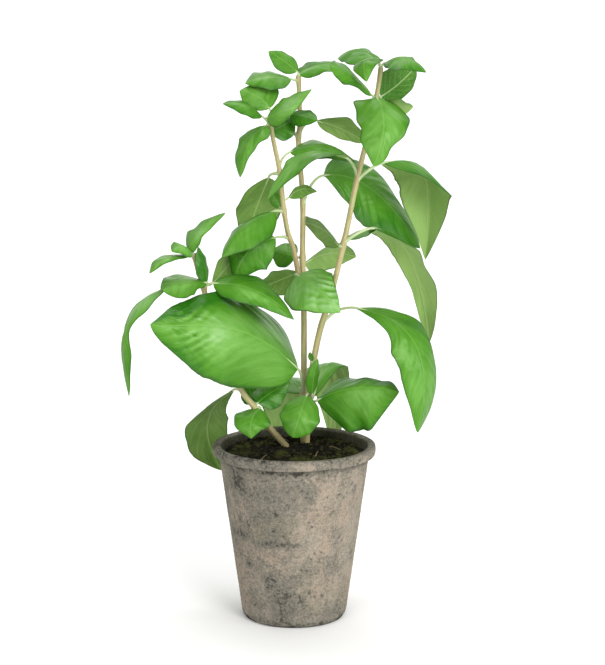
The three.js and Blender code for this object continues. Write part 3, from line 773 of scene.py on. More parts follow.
rightStem = {
    "line": [
        [9, 11, 102], [9, 10.5, 126], [11, 7, 164], [16, 2, 198], [20, 0, 215], [25, -2, 231],
        [35, -3, 272], [44, -5, 317], [53, -5, 354], [57, -5, 373], [60, -5, 394],
    ],
    "leaves": [
        leaf(393, [62, -7, 397], [76, -17, 401], [90, -26, 391], [0, -0.35, 0.93], 29,
             left=[1.3, 1.1, 0.5, 0.25, 0.3], tone=0.45, glow=[0.3, 0.5, 0, 0.3]),
        leaf(393, [58, -9, 398], [48, -28, 399], [49, -36, 385], [-0.4, -0.6, 0.6], 21, tone=0.45),
        leaf(392, [58, 0, 397], [44, 14, 406], [31, 26, 400], [0, -0.42, 0.9], 31, point=0.65,
             right=[0.7, 0.5, 0.65, 1.2, 1.5], tone=0.55),
        leaf(373, [54, -9, 375], [39, -24, 389], [24, -32, 396], [-0.35, -0.65, 0.7], 32,
             widest=0.52, left=[0.8, 0.45, 0.5, 0.8, 1]),
        leaf(373, [60, -3, 374], [72, 4, 382], [85, 12, 394], [0.35, 0.8, 0.3], 27,
             left=[0.9, 0.75, 0.7, 0.8, 1], tone=0.3, pale=-0.55),
        leaf(371, [60, -6, 371], [71, -4, 368], [83, -2, 367], [0.2, 0.6, 0.75], 25, tone=0.65),
        leaf(372, [57, -10, 374], [61, -32, 354], [54, -36, 328], [0.05, -1, 0.35], 38,
             widest=0.33, lobe=9, left=[1, 1, 0.95, 0.6, 1.3], right=[1.15, 0.95, 0.9, 1.2, 1.3],
             tone=0.6, glow=[0.3, 0.35, -0.3, 0.3], crumple=[0.2, 0.5, 0.3, 0]),
        leaf(316, [63, 2, 328], [95.7, 47.8, 314.5], [96, 44, 254], [0.37, 0.66, 0.65], 50,
             fold=-30, twist=14, sway=[1.6, -1, -0.5], left=[0.8, 0.75, 0.82, 0.95, 0.75],
             right=[0.7, 0.8, 1.3, 1.4, 1.3], tone=0.2, pale=0.85, shade=[0.1, 0.1], pucker=0.7,
             crumple=[0.2, 0.5, 0.4, 0]),
        leaf(318, [35, -14, 333], [6, -44, 334], [-18, -54, 307], [-0.3, -0.25, 0.9], 30, fold=5,
             right=[1, 1, 0.8, 0.6, 0.7], tone=0.55, glow=[0.4, 0.6, 0, 0.4]),
        leaf(272, [56, 0, 282], [84, 28, 258], [99, 35, 194], [0.55, 0.6, 0.5], 46, twist=12,
             left=[1, 0.65, 0.5, 0.45, 0.6], right=[1, 0.9, 0.75, 1, 1.2], tone=0.25, pale=0.8,
             pucker=0.7, crumple=[0.2, 0.5, 0.4, 0]),
        leaf(270, [32, -4, 270], [20, 8, 281], [7, 25, 283], [0, 0.7, 0.5], 25, tone=0.4, pale=0.5),
        leaf(273, [37, 0, 274], [47, 8, 279], [60, 14, 281], [0, -0.1, 1], 16, tone=0.35, pale=0.3),
        leaf(213, [44, -6, 226], [85, -24, 202], [87, -25, 140], [0.35, -0.6, 0.6], 43,
             widest=0.52, point=0.75, left=[1.6, 1.3, 0.85, 1, 1.4],
             right=[0.6, 0.6, 0.85, 0.9, 0.8], crumple=[0.15, 0.5, 0.35, 0]),
        leaf(158, [16, 0, 158], [44, -14, 170], [74, -20, 168], [0, -0.8, 0.6], 54, fold=-28,
             ruffle=0.07, left=[1, 0.75, 0.45, 0.6, 1.2], right=[1, 1.15, 1.05, 1.4, 1.4],
             tone=0.3, shade=[0.2, 0.1], glow=[0.3, 0.6, 0.2, 0.3], crumple=[0.25, 0.6, 0.35, 0]),
        leaf(161, [9, 0, 162], [4, -16, 151], [-1, -19, 135], [-0.1, -0.95, 0.35], 29, widest=0.5,
             point=0.55, tone=0.65, glow=[0.3, 0.4, 0, 0.3], pucker=0.5),
        leaf(157, [13, 2, 162], [14, -3, 176], [17, -3, 189], [0.5, -0.8, 0.2], 11, tone=0.35),
        leaf(156, [14, 14, 158], [28, 60, 172], [30, 76, 104], [0.1, 0.85, 0.5], 38,
             right=[0.5, 0.55, 0.7, 0.9, 1], tone=0.6, pale=1.3),
        leaf(184, [12.5, 2, 186], [11.4, 1.4, 189.5], [11.6, 0.8, 193], [-0.6, -0.8, 0.1], 5,
             tone=0.3),
    ],
}

middleStem = {
    "line": [
        [7, 19, 102], [7, 18, 124], [7, 16, 161], [7, 14, 189], [7, 12, 217], [6, 10, 260],
        [6, 8, 301], [3, 6, 345], [4, 6, 354], [3, 4, 388],
    ],
    "leaves": [
        leaf(386, [2, 5, 391], [-8, 8, 399], [-18, 10, 405], [-0.1, -0.8, 0.6], 15, tone=0.4,
             pucker=0.8),
        leaf(385, [-2, 2, 386], [-18, -2, 388], [-34, -4, 383], [0, -0.45, 0.9], 27,
             right=[1, 1, 1.3, 1.9, 2.3], glow=[0.5, 0.6, 0, 0.3]),
        leaf(385, [3, 5, 389], [17, 12, 395], [32, 22, 397], [0.2, -0.35, 0.9], 23,
             left=[1, 1, 1.2, 1.5, 1.5], right=[0.9, 0.75, 0.55, 1, 1.4]),
        leaf(345, [-3, -4, 362], [7, -10, 361], [16, -14, 358], [0.1, -0.75, 0.65], 17, tone=0.15,
             pale=0),
        leaf(347, [16, 10, 357], [33, 18, 351], [51, 22, 341], [0.1, 0.75, 0.65], 26, widest=0.5,
             left=[0.8, 0.6, 0.55, 0.6, 0.8], right=[1, 1.3, 1.2, 1, 1], tone=0.3, pale=0.35),
        leaf(298, [21, 16, 318], [57, 48, 305], [93, 56, 261], [0.1, -0.7, 0.7], 54, widest=0.54,
             tone=0.4, shade=[0.1, 0.3], crumple=[0.3, 0.4, 0.3, 0]),
        leaf(260, [1, 14, 260], [-8, 20, 262], [-17, 26, 263], [-0.2, -0.8, 0.5], 21, tone=0.35,
             pale=0.2),
        leaf(257, [8, 13, 256], [26, 29, 261], [45, 37, 257], [0.1, 0.75, 0.5], 30, tone=0.6,
             pale=0.6),
        leaf(161, [3, -6, 182], [-53, -61, 222], [-96, -79, 226], [-0.15, -0.85, 0.48], 76,
             fold=-19, widest=0.34, point=0.8, bend=0.15, sway=[0, 0, 4], lobe=13,
             left=[0.95, 0.95, 1, 0.9, 0.8], right=[1.3, 1, 0.77, 0.72, 0.75], tone=0.55,
             shade=[0.15, 1.1], glow=[0.36, 0.52, -0.12, 0.34], pucker=0.6,
             crumple=[0.5, 0.66, 0.24, 0.05], arcs=[1.0, 0.64, -0.02, 17, 5.6, 24, 62]),
        leaf(158, [6, 18, 160], [-6, 60, 159], [-5, 76, 102], [-0.1, 0.85, 0.5], 48, tone=0.65,
             pale=1.3),
        leaf(244, [2, -1, 249], [17, -26, 242], [32, -34, 227], [-0.1, -0.8, 0.6], 44, widest=0.28,
             left=[0.9, 0.8, 0.7, 0.6, 0.6], tone=1.02, glow=[0.15, 0.6, -0.3, 0.35], pucker=3.0,
             crumple=[0.2, 0.5, 0.45, 0.3], arcs=[1.4, 0.58, -0.4, 13, 5.5, -18, -20]),
        leaf(246, [3, 13, 249], [-10, 18, 243], [-28, 22, 235], [-0.1, 0.7, 0.6], 30, pale=0.3),
    ],
}

branch = {
    "line": [
        [7, 12, 230], [5, 11, 237], [2, 6, 254], [-1, 3, 269], [-4, 0, 277], [-7, -5, 294],
        [-10, -8, 322], [-14, -10, 342], [-17, -12, 358],
    ],
    "leaves": [
        leaf(357, [-17, -11, 366], [-25.5, -9, 374.5], [-38, -5, 378], [-0.1, -0.8, 0.6], 29,
             left=[0.7, 0.65, 0.8, 1, 1], right=[1, 1.2, 1.2, 1.2, 1], tone=0.6,
             glow=[0.3, 0.5, 0, 0.3]),
        leaf(357, [-22, -15, 361], [-34, -21, 369], [-49, -25, 370], [0, -0.5, 0.87], 19, tone=0.4,
             glow=[0.3, 0.6, 0, 0.3]),
        leaf(356, [-19, -16, 360], [-6, -28, 367], [12, -31, 380], [-0.2, -0.75, 0.65], 25,
             right=[0.9, 0.8, 0.6, 0.45, 0.4], tone=0.65, glow=[0.4, 0.6, 0, 0.4]),
        leaf(356, [-19, -15, 355], [-31, -29, 343], [-37, -31, 320], [-0.5, -0.7, 0.5], 26,
             left=[1, 0.8, 0.45, 0.4, 0.5], right=[1.6, 1.3, 0.9, 1.1, 1.3], pucker=1.6),
        leaf(352, [-17, -9, 351], [-8, -4, 354], [0, 0, 359], [0, -0.8, 0.6], 21, tone=0.1,
             pale=-0.3),
        leaf(322, [-3, -10, 336], [21, -9, 340], [44, 0, 328], [0.1, -0.4, 0.9], 25,
             left=[1.3, 1.5, 1.5, 1.3, 1.2], tone=0.55),
        leaf(316, [-4, -5, 304], [5, -3, 310], [16, -3, 308], [0, 0.6, 0.7], 16, pale=-0.1),
        leaf(321, [-18, -3, 318], [-27, 12, 295], [-36, 15, 270], [-0.3, 0.8, 0.5], 35, tone=0.6,
             pale=0.3),
        leaf(294, [-14, -9, 295], [-35, -24, 286], [-50, -32, 265], [-0.25, -0.42, 0.88], 37,
             fold=-25),
        leaf(295, [-10, -2, 297], [-13, 0, 302], [-17, 3, 307], [-0.3, -0.8, 0.4], 9, tone=0.4),
        leaf(275, [-13, -5, 276], [-32, -16, 267], [-42, -13, 246], [0.15, -0.8, 0.45], 35,
             fold=-20, tone=0.25, pale=-0.2),
    ],
}

leftStem = {
    "line": [
        [0, 5, 102], [-1, 5, 117], [-5, 3, 123], [-12, -2, 132], [-18, -6, 140], [-28, -11, 155],
        [-37, -15, 168], [-50, -23, 202], [-61, -28, 235], [-63, -30, 246], [-66, -32, 255],
        [-69, -34, 268],
    ],
    "leaves": [
        leaf(267, [-73, -36, 270], [-64, -37, 283], [-47, -31, 296], [-0.3, -0.6, 0.75], 20,
             left=[2, 1.6, 1.2, 1.3, 1.5], right=[1, 0.6, 0.35, 0.4, 0.5], tone=0.55,
             glow=[0.6, 0.5, 0, 0.4]),
        leaf(267, [-70, -36, 269], [-76, -43, 274], [-83, -49, 271], [0, -0.6, 0.8], 19, tone=0.6,
             glow=[0.5, 0.5, 0, 0.4]),
        leaf(266, [-72, -37, 267], [-87, -49, 266], [-98, -55, 257], [0, -0.35, 0.93], 15,
             left=[0.6, 0.5, 0.45, 0.5, 0.6], right=[1, 1.3, 1.5, 1.4, 1.3],
             glow=[0.5, 0.5, 0, 0.4]),
        leaf(247, [-60, -30, 248], [-62, -33, 260], [-66, -36, 273], [0.8, -0.5, 0.3], 17,
             tone=0.1),
        leaf(247, [-57, -24, 246], [-48, -6, 255], [-39, 7, 266], [0.2, 0.8, 0.4], 22),
        leaf(246, [-61, -34, 248], [-75, -48, 250], [-89, -60, 246], [-0.2, -0.65, 0.7], 28,
             point=0.62, left=[0.5, 0.5, 0.8, 1.1, 1.3], lobe=9, right=[1.2, 1.3, 1.3, 1.1, 1],
             glow=[0.4, 0.5, 0, 0.3], pucker=0.8, crumple=[0.35, 0.5, 0.35, 0]),
        leaf(245, [-89, -50, 246], [-113, -72, 221], [-111.5, -73, 176], [-0.85, -0.4, 0.3], 30,
             sway=[-1, 0, 0.7], left=[1, 0.85, 0.35, 0.65, 0.9], right=[1, 1, 0.6, 0.7, 0.4],
             tone=0.6, glow=[0.4, 0.3, 0, 0.4]),
        leaf(244, [-56, -30, 247], [-26, -34, 242], [0, -27, 221], [0.1, -0.6, 0.8], 36,
             right=[0.9, 0.75, 0.65, 0.6, 0.6], tone=0.3, glow=[0.5, 0.5, 0.3, 0.25], pucker=0.6,
             crumple=[0.3, 0.6, 0.3, 0]),
        leaf(155, [-44, -2, 166], [-64, 32, 134], [-54, 47, 95], [-0.45, 0.75, 0.4], 44,
             right=[0.4, 0.45, 0.7, 0.85, 0.9], tone=0.35, pale=0.3),
        leaf(155, [-24, -12, 155], [-30, -26, 149], [-30, -30, 137], [0, -0.8, 0.6], 27, tone=0.45),
        leaf(155, [-26, -9, 158], [-17, -2, 164], [-3, 5, 171], [0.1, -0.7, 0.6], 23, tone=0.05),
        leaf(155, [-28, -8, 158], [-31, -2, 163], [-34, 3, 171], [0, -0.6, 0.5], 15, tone=0.25),
    ],
}

leafFinish = leafMaterial()
stemFinish = stemMaterial()


def leafyStem(title, cadNode, *stemParts):
    leaves, wood = Pile(), Pile()
    seed = len(title)
    for stem, foot, top in stemParts:
        points = stemInto(wood, stem, foot, top)
        for blade in stem["leaves"]:
            seed += 1
            bladeInto(leaves, blade, seed)
            stalkInto(wood, blade, points)
    for piece, slotName in ((leaves.piece(title + "_leaves", leafFinish), "leaves"),
                            (wood.piece(title + "_stems", stemFinish), "stems")):
        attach(piece, "root")
        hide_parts(cadNode)
    print(title, "leafy stem made,", len(leaves.faces), "leaf faces")


mainStem = (stemShape["foot"], stemShape["top"])
sideStem = (stemShape["branchFoot"], stemShape["branchTop"])
leafyStem("right", "right_leafy_stem", (rightStem, *mainStem))
leafyStem("middle", "middle_leafy_stem", (middleStem, *mainStem), (branch, *sideStem))
leafyStem("left", "left_leafy_stem", (leftStem, *mainStem))


# Pot

potShape = {
    "height": 127, "rim": 59, "band": 8, "step": 4.8, "base": 37.7,     # radii, and the rim band
    "bodyWall": 5.2, "rimWall": 6.8, "floor": 8, "drain": 6,
    "sides": 220, "cell": 1.1,          # mesh cells around, and their height
    "dent": 0.28, "dentReach": [17, 6],             # hand-thrown unevenness, broad and fine
    "ring": 0.10, "ringRate": 1.9,
    "bandWave": 0.9, "bandReach": 10,               # the lower edge of the band, up and down
    "rimWave": 0.2, "rimReach": 14,                 # the rim's top
    "chip": 3.2, "chipHeight": 2.6, "chipReach": 8,     # chips around the foot
}
# stains: height, direction (degrees, -90 faces the front), reach up, reach around, strength
potStains = [
    (100, -100, 16, 26, 0.60), (102, -79, 8, 9, 0.75), (110, -140, 10, 12, 0.65),
    (84, -115, 8, 12, 0.60), (87, -106, 4, 5, 0.80), (64, -106, 3.0, 20, 1.20),
    (67, -145, 2.6, 16, 1.00), (72, -107, 9, 12, 0.70), (22, -99, 18, 13, 1.05),
    (35, -111, 6, 8, 0.70), (8, -101, 10, 11, 1.00), (46, -136, 3, 5, 0.60),
    (45, -55, 8, 14, 0.50), (19, -81, 6, 5, 0.70), (10, -45, 6, 18, 0.50),
    (100, -33, 3, 2, 0.90), (45, 40, 20, 25, 0.70), (95, 95, 14, 30, 0.70),
    (20, 150, 14, 26, 0.60), (75, 10, 16, 14, 0.50), (124, -150, 5, 30, 0.70),
    (122, -105, 4, 22, 0.50), (123, -60, 4, 20, 0.45), (123, 10, 5, 30, 0.60),
    (123, 110, 5, 40, 0.60), (60, 130, 5, 30, 0.80), (108, 30, 8, 20, 0.60),
    (80, -175, 18, 12, 0.60),
]
potLook = {
    "pale": (0.300, 0.262, 0.207),
    "warm": (0.312, 0.250, 0.188),
    "grey": (0.150, 0.140, 0.114),
    "dark": (0.032, 0.031, 0.026),
    "moss": (0.150, 0.146, 0.098),
    "dampAndShade": (0.030, 0.031, 0.017),
    "rough": 0.93,
    "scratch": {"degrees": -133, "height": 82, "lean": -0.38, "width": 0.8},
    # darker places: painted shade under the band and on the left side, stains and painted shade at
    # the foot, and a darker rim top: how strong, and how far they reach in mm or degrees
    "underBand": (0.7, 2.4), "foot": (1.5, 3.8), "leftSide": (0.30, 26), "rimTop": 0.45,
    "scales": {"Cloud": 38.0, "Grain": 850.0, "broad": 16.0, "blotch": 70.0, "fleck": 330.0,
               "moss": 26.0, "grit": 640.0},
}


def wallRadius(z):
    # the body's inner wall
    shape = potShape
    slope = (shape["rim"] - shape["step"] - shape["base"]) / (shape["height"] - shape["band"])
    return shape["base"] + slope * z - shape["bodyWall"]


def potCorners():
    # radius and height, from the drain hole out, up, over the rim and down inside
    shape = potShape
    top, rim, floor, drain = (shape[key] for key in ("height", "rim", "floor", "drain"))
    bodyTop, body, lip = top - shape["band"], rim - shape["step"], rim - shape["rimWall"]
    return [
        [drain, 0.0], [shape["base"] - 2.6, 0.0], [shape["base"] - 0.6, 0.8],
        [wallRadius(3) + shape["bodyWall"], 3], [body - 0.1, bodyTop - 0.7],
        [body + 0.3, bodyTop - 0.1], [rim - 1.1, bodyTop + 0.3], [rim - 0.1, bodyTop + 1.5],
        [rim, top - 1.8], [rim - 0.5, top - 0.5], [rim - 1.8, top], [lip + 1.4, top - 0.3],
        [lip, top - 2.4], [wallRadius(bodyTop - 6), bodyTop - 6], [wallRadius(60), 60],
        [wallRadius(floor + 4), floor + 4], [wallRadius(floor) - 4, floor],
        [drain, floor], [drain, 0.0],
    ]


def roundedCorners(corners, cut=0.35, longest=2.5, rounds=2):
    for _ in range(rounds):
        made = [corners[0]]
        for a, b, c in zip(corners, corners[1:], corners[2:]):
            for end in (arr(a), arr(c)):
                reach = cut * min(1, longest / max(np.linalg.norm(end - arr(b)), 1e-6))
                made.append(list(b + (end - b) * reach))
        corners = made + [corners[-1]]
    return corners


def profilePoints(corners, spacing):
    made = [corners[0]]
    for a, b in zip(corners, corners[1:]):
        count = max(1, int(math.dist(a, b) / spacing))
        for k in range(1, count + 1):
            made.append([a[0] + (b[0] - a[0]) * k / count, a[1] + (b[1] - a[1]) * k / count])
    return arr(made)


def agedMarks(turn, height, radius, inside, roll, swing):
    # how stained, how damp and how scratched the clay is at each place, with painted shade under
    # the band, on the left side, at the foot and inside the pot
    look, top = potLook, potShape["height"]
    bodyTop, body = top - potShape["band"], potShape["rim"] - potShape["step"]
    degrees = np.degrees(turn)
    stainsAndShade = np.zeros_like(height)
    for z, direction, up, around, strength in potStains:
        away = np.degrees((turn - math.radians(direction) + math.pi) % fullTurn - math.pi)
        stainsAndShade = np.maximum(stainsAndShade, strength * hump(height - z, up, away, around))
    cut = look["scratch"]
    line = cut["degrees"] + (height - cut["height"]) * cut["lean"] + 1.5 * np.sin(height / 9)
    away = np.radians((degrees + 180 - line) % 360 - 180) * radius
    scratch = hump(away, cut["width"]) * smooth(63, 68, height) * (1 - smooth(92, 100, height))
    # painted shade under the band's ledge and on the left side, and stains with painted shade at
    # the foot, all added in with the stains
    strength, reach = look["underBand"]
    underBand = strength * hump(height - bodyTop + 1.5, reach) * (radius < body + 0.7)
    rimTop = look["rimTop"] * smooth(top - 4, top - 0.6, height)
    strength, reach = look["leftSide"]
    leftSide = strength * hump(degrees - 228, reach) * (height > 2)
    strength, reach = look["foot"]
    foot = strength * hump(height, reach) * (0.6 + 0.5 * ripple(roll / 9, swing / 9, 77))
    stainsAndShade = np.clip(stainsAndShade + underBand + rimTop + leftSide + foot, 0, 1)
    # darker inside the pot up to near the rim: damp clay and painted shade in the pot
    dampAndShade = np.where(inside, 1 - smooth(top - 2.6, top - 0.2, height), 0)
    return {"stainsAndShade": stainsAndShade, "dampAndShade": dampAndShade, "scratch": scratch}


def makePot():
    shape = potShape
    top, sides = shape["height"], shape["sides"]
    bodyTop, lip = top - shape["band"], shape["rim"] - shape["rimWall"]
    line = profilePoints(roundedCorners(potCorners()), shape["cell"])
    radius, height = (np.repeat(line[:, k:k + 1], sides, 1) for k in (0, 1))
    turn = np.repeat((np.arange(sides) * fullTurn / sides)[None, :], len(line), 0)
    # the first part of the profile is the outside, and its flat underside stays flat
    outside = (np.arange(len(line)) < len(line) * 0.55)[:, None] & (height > 0.4)
    meanRadius = 52
    roll, swing = np.cos(turn) * meanRadius, np.sin(turn) * meanRadius
    broad, fine = shape["dentReach"]
    lumps = (ripple(roll / broad, height / broad + swing / broad, 3)
             + 0.5 * ripple(roll / fine, height / fine - swing / fine, 4))
    dents = shape["dent"] * (0.5 * lumps - 0.6)
    throwing = shape["ring"] * np.sin(height * shape["ringRate"] + 0.8 * np.sin(turn))
    radius = radius + np.where(outside, dents + throwing - 0.1, 0)
    reach = shape["bandReach"]
    wave = ripple(roll / reach, swing / reach, 31) * hump(height - bodyTop - 0.5, 2.6)
    height = height + np.where(outside, shape["bandWave"] * wave, 0)
    reach = shape["chipReach"]
    chips = np.clip(ripple(roll / reach, swing / reach, 9), 0, 1)
    chips = chips * hump(height, shape["chipHeight"])
    radius = radius - np.where(outside, chips * shape["chip"], 0)
    reach = shape["rimReach"]
    worn = height - 0.25 - shape["rimWave"] * ripple(roll / reach, swing / reach, 12)
    height = np.where(height > top - 2, worn, height)
    verts = np.stack([radius * np.cos(turn), radius * np.sin(turn), np.clip(height, 0, top)], -1)
    inside = ~outside & (radius < lip + 2.4) & (height > shape["floor"] + 0.5)
    marks = agedMarks(turn, height, radius, inside, roll, swing)
    count = len(line) - 1       # the last profile point closes on the first
    marks = {key: values[:count].ravel() for key, values in marks.items()}
    return makePiece("clay_pot", verts[:count].reshape(-1, 3),
                     ringFaces(count, sides, closed=True), clayMaterial(), marks, 60)


def clayMaterial():
    material, tree, shader = newMaterial("agedClay")
    look, scales = potLook, potLook["scales"]
    place = node(tree, "ShaderNodeTexCoord", {})["Object"]
    grain = useGroup(tree, grainGroup, {
        "Place": place, "Cloud Scale": scales["Cloud"], "Grain Scale": scales["Grain"],
    })
    broad = noise(tree, place, scales["broad"], 6.0, 0.62, 0.6)
    blotch = noise(tree, place, scales["blotch"], 7.0, 0.72, 0.4)
    fleck = noise(tree, place, scales["fleck"], 4.0, 0.7)
    moss = noise(tree, place, scales["moss"], 5.0)
    stainsAndShade = mark(tree, "stainsAndShade")
    base = layer(tree, look["warm"], broad, 0.40, 0.60, look["pale"])
    base = layer(tree, base, grain["Grain"], 0.40, 0.70, look["grey"], 0.45)
    # grey over the stains and the painted shade
    base = layer(tree, base, stainsAndShade, 0.10, 0.90, look["grey"], 0.60)
    # worn places, which carry the stains and painted shade too, with fewer flecks where the clay is
    # clean
    clean = ramp(tree, plus(tree, broad, stainsAndShade, -0.25), 0.38, 0.56, 1.0, 0.45)
    flecks = times(tree, maths(tree, "SUBTRACT", fleck, 0.5), 3.0)
    worn = plus(tree, vary(tree, stainsAndShade, blotch, 2.0), flecks, clean)
    worn = vary(tree, worn, grain["Cloud"], 1.1)
    base = layer(tree, base, worn, -0.30, 0.55, look["grey"], 0.85)
    base = layer(tree, base, worn, 0.66, 1.30, look["dark"], 0.85)
    base = layer(tree, base, moss, 0.52, 0.70, look["moss"], 0.35)
    speck = times(tree, ramp(tree, fleck, 0.60, 0.68), ramp(tree, blotch, 0.46, 0.58))
    base = tint(tree, base, speck, 0.75, look["dark"])
    base = tint(tree, base, mark(tree, "scratch"), ramp(tree, fleck, 0.35, 0.6, 0.2, 0.7),
                look["pale"])
    # damp and painted shade inside the pot
    base = tint(tree, base, mark(tree, "dampAndShade"), ramp(tree, blotch, 0.30, 0.62, 1.0, 0.75),
                look["dampAndShade"])
    # fine grit lightens and darkens the worn places
    grit = ramp(tree, noise(tree, place, scales["grit"], 5.0, 0.8), 0.32, 0.68, 0.55, 1.40)
    grit = node(tree, "ShaderNodeCombineColor", {channel: grit for channel in range(3)})[0]
    base = blend(tree, ramp(tree, worn, -0.6, 0.8, 0.35, 1.0), base, grit, "MULTIPLY")
    height = plus(tree, times(tree, blotch, 1.2), grain["Grain"], 0.35)
    feed(tree, shader, {
        "Base Color": base,
        "Roughness": ramp(tree, blotch, 0.2, 0.8, look["rough"] - 0.1, look["rough"] + 0.04),
        "Normal": bump(tree, plus(tree, height, speck, -0.5), 0.8, 0.0016),
        "Specular IOR Level": 0.2,
    })
    return material


pot = makePot()
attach(pot, "root")
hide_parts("pot")
print("pot made")


# Soil

soilShape = {
    "edge": 121, "middle": 124, "lump": 1.1,    # heights of the heap, and its gentle lumps
    "flare": 113, "bottom": 8.4,                # where the pot widens, and the soil's underside
    "gap": 0.35,                                # to the pot's wall
    "rough": [(0.55, 2.6, 21), (0.35, 1.1, 22)],    # its surface: height, reach, seed
    "rings": 64, "sides": 160,
    "crumbs": 560, "crumbSize": 1.9, "lumps": 110, "lumpSize": [1.6, 2.6], "reach": 46.5,
    "twigs": 5, "twigLength": [5, 14], "twigReach": 40, "twigRadii": [0.5, 0.25],
}
soilLook = {
    "dark": (0.0055, 0.0052, 0.0035),
    "brown": (0.016, 0.013, 0.007),
    "moss": (0.046, 0.053, 0.012),
    "straw": (0.230, 0.180, 0.090),
    "rough": 0.95, "cloudScale": 55.0, "grainScale": 700.0,
}


def soilHeight(x, y):
    # as in the solids: a heap that falls off towards the rim's inner wall
    share = np.minimum(np.hypot(x, y) / (potShape["rim"] - potShape["rimWall"]), 1)
    lump = np.sin(x * 0.31 + 1) * np.cos(y * 0.27) + np.sin(x * 0.17 - y * 0.22 + 2)
    heap = soilShape["middle"] + (soilShape["edge"] - soilShape["middle"]) * share ** 2
    return heap + soilShape["lump"] * lump * (1 - share ** 6)


def soilMaterial():
    material, tree, shader = newMaterial("pottingSoil")
    look = soilLook
    place = node(tree, "ShaderNodeTexCoord", {})["Object"]
    grain = useGroup(tree, grainGroup, {
        "Place": place, "Cloud Scale": look["cloudScale"], "Grain Scale": look["grainScale"],
    })
    base = layer(tree, look["dark"], grain["Grain"], 0.4, 0.7, look["brown"])
    base = layer(tree, base, grain["Cloud"], 0.5, 0.66, look["moss"], 0.75)
    base = tint(tree, base, mark(tree, "mossy"), ramp(tree, grain["Grain"], 0.35, 0.6),
                look["moss"])
    feed(tree, shader, {
        "Base Color": blend(tree, mark(tree, "woody"), base, look["straw"]),
        "Roughness": look["rough"],
        "Normal": bump(tree, grain["Grain"], 0.9, 0.0015),
        "Specular IOR Level": 0.08,
    })
    return material


def addSoil(pile, verts, faces, woody=0.0, mossy=0.0):
    count = len(verts)
    pile.add(verts, faces, woody=np.full(count, woody), mossy=np.full(count, mossy))


def bodyInto(pile):
    # the filling of the pot, up along its wall and in over a rough top
    shape, sides = soilShape, soilShape["sides"]
    turns = np.arange(sides) * fullTurn / sides

    def wall(z):
        return wallRadius(z) - shape["gap"]

    risen = (shape["edge"] - shape["flare"]) / (potShape["height"] - 2.4 - shape["flare"])
    lip = potShape["rim"] - potShape["rimWall"]
    edge = wall(shape["flare"]) * (1 - risen) + (lip - 0.7) * risen
    rings = []
    for z, r in ((shape["bottom"], 0.01), (shape["bottom"], 28), (shape["bottom"], wall(8) - 4.4),
                 (12.3, wall(12)), (60, wall(60)),
                 (shape["flare"] - 0.5, wall(shape["flare"]) - 0.05),
                 (shape["edge"] - 1.5, edge - 1.1)):
        rings.append(np.stack([r * np.cos(turns), r * np.sin(turns), np.full(sides, z)], -1))
    for k in range(shape["rings"], 0, -1):
        r = (edge - 0.3) * k / shape["rings"]
        x, y = r * np.cos(turns), r * np.sin(turns)
        rough = sum(height * ripple(x / reach, y / reach, seed)
                    for height, reach, seed in shape["rough"])
        rings.append(np.stack([x, y, soilHeight(x, y) + rough - 0.7], -1))
    centre = arr([[0, 0, soilHeight(0, 0) - 0.6]])
    faces = ringFaces(len(rings), sides)
    last, peak = (len(rings) - 1) * sides, len(rings) * sides
    faces += [(last + k, last + (k + 1) % sides, peak) for k in range(sides)]
    faces.append(tuple(range(sides - 1, -1, -1)))
    addSoil(pile, np.concatenate(rings + [centre]), faces)


def roundBall():
    # an eight-sided form with each face cut in four
    verts = list(arr([[0, 0, 1], [1, 0, 0], [0, 1, 0], [-1, 0, 0], [0, -1, 0], [0, 0, -1]]))
    faces, middles = [], {}

    def middle(a, b):
        key = (min(a, b), max(a, b))
        if key not in middles:
            middles[key] = len(verts)
            verts.append(unit(verts[a] + verts[b]))
        return middles[key]

    for a, b, c in ((0, 1, 2), (0, 2, 3), (0, 3, 4), (0, 4, 1),
                    (5, 2, 1), (5, 3, 2), (5, 4, 3), (5, 1, 4)):
        ab, bc, ca = middle(a, b), middle(b, c), middle(c, a)
        faces += [(a, ab, ca), (ab, b, bc), (ca, bc, c), (ab, bc, ca)]
    return arr(verts), faces


def crumbsInto(pile, rng):
    # crumbs of soil, and flatter lumps with moss on them
    shape = soilShape
    ball, faces = roundBall()
    for number in range(shape["crumbs"] + shape["lumps"]):
        r = shape["reach"] * math.sqrt(rng.random())
        turn = rng.uniform(0, fullTurn)
        isLump = number >= shape["crumbs"]
        if isLump:
            size = rng.uniform(*shape["lumpSize"])
        else:
            size = rng.uniform(0.5, 1.0) ** 2 * shape["crumbSize"]
        x, y = r * math.cos(turn), r * math.sin(turn)
        flat = 0.5 if isLump else rng.uniform(0.5, 0.85)
        stretch = arr([rng.uniform(0.7, 1.2), rng.uniform(0.7, 1.2), flat]) * size
        rough = arr([rng.uniform(0.75, 1.1) for _ in ball])[:, None]
        verts = ball * rough * stretch + arr([x, y, soilHeight(x, y) - 0.3])
        if isLump:
            addSoil(pile, verts, faces, mossy=rng.choice([0.4, 1]))
        else:
            addSoil(pile, verts, faces, woody=rng.choice([0, 0, 0, 0.10]))


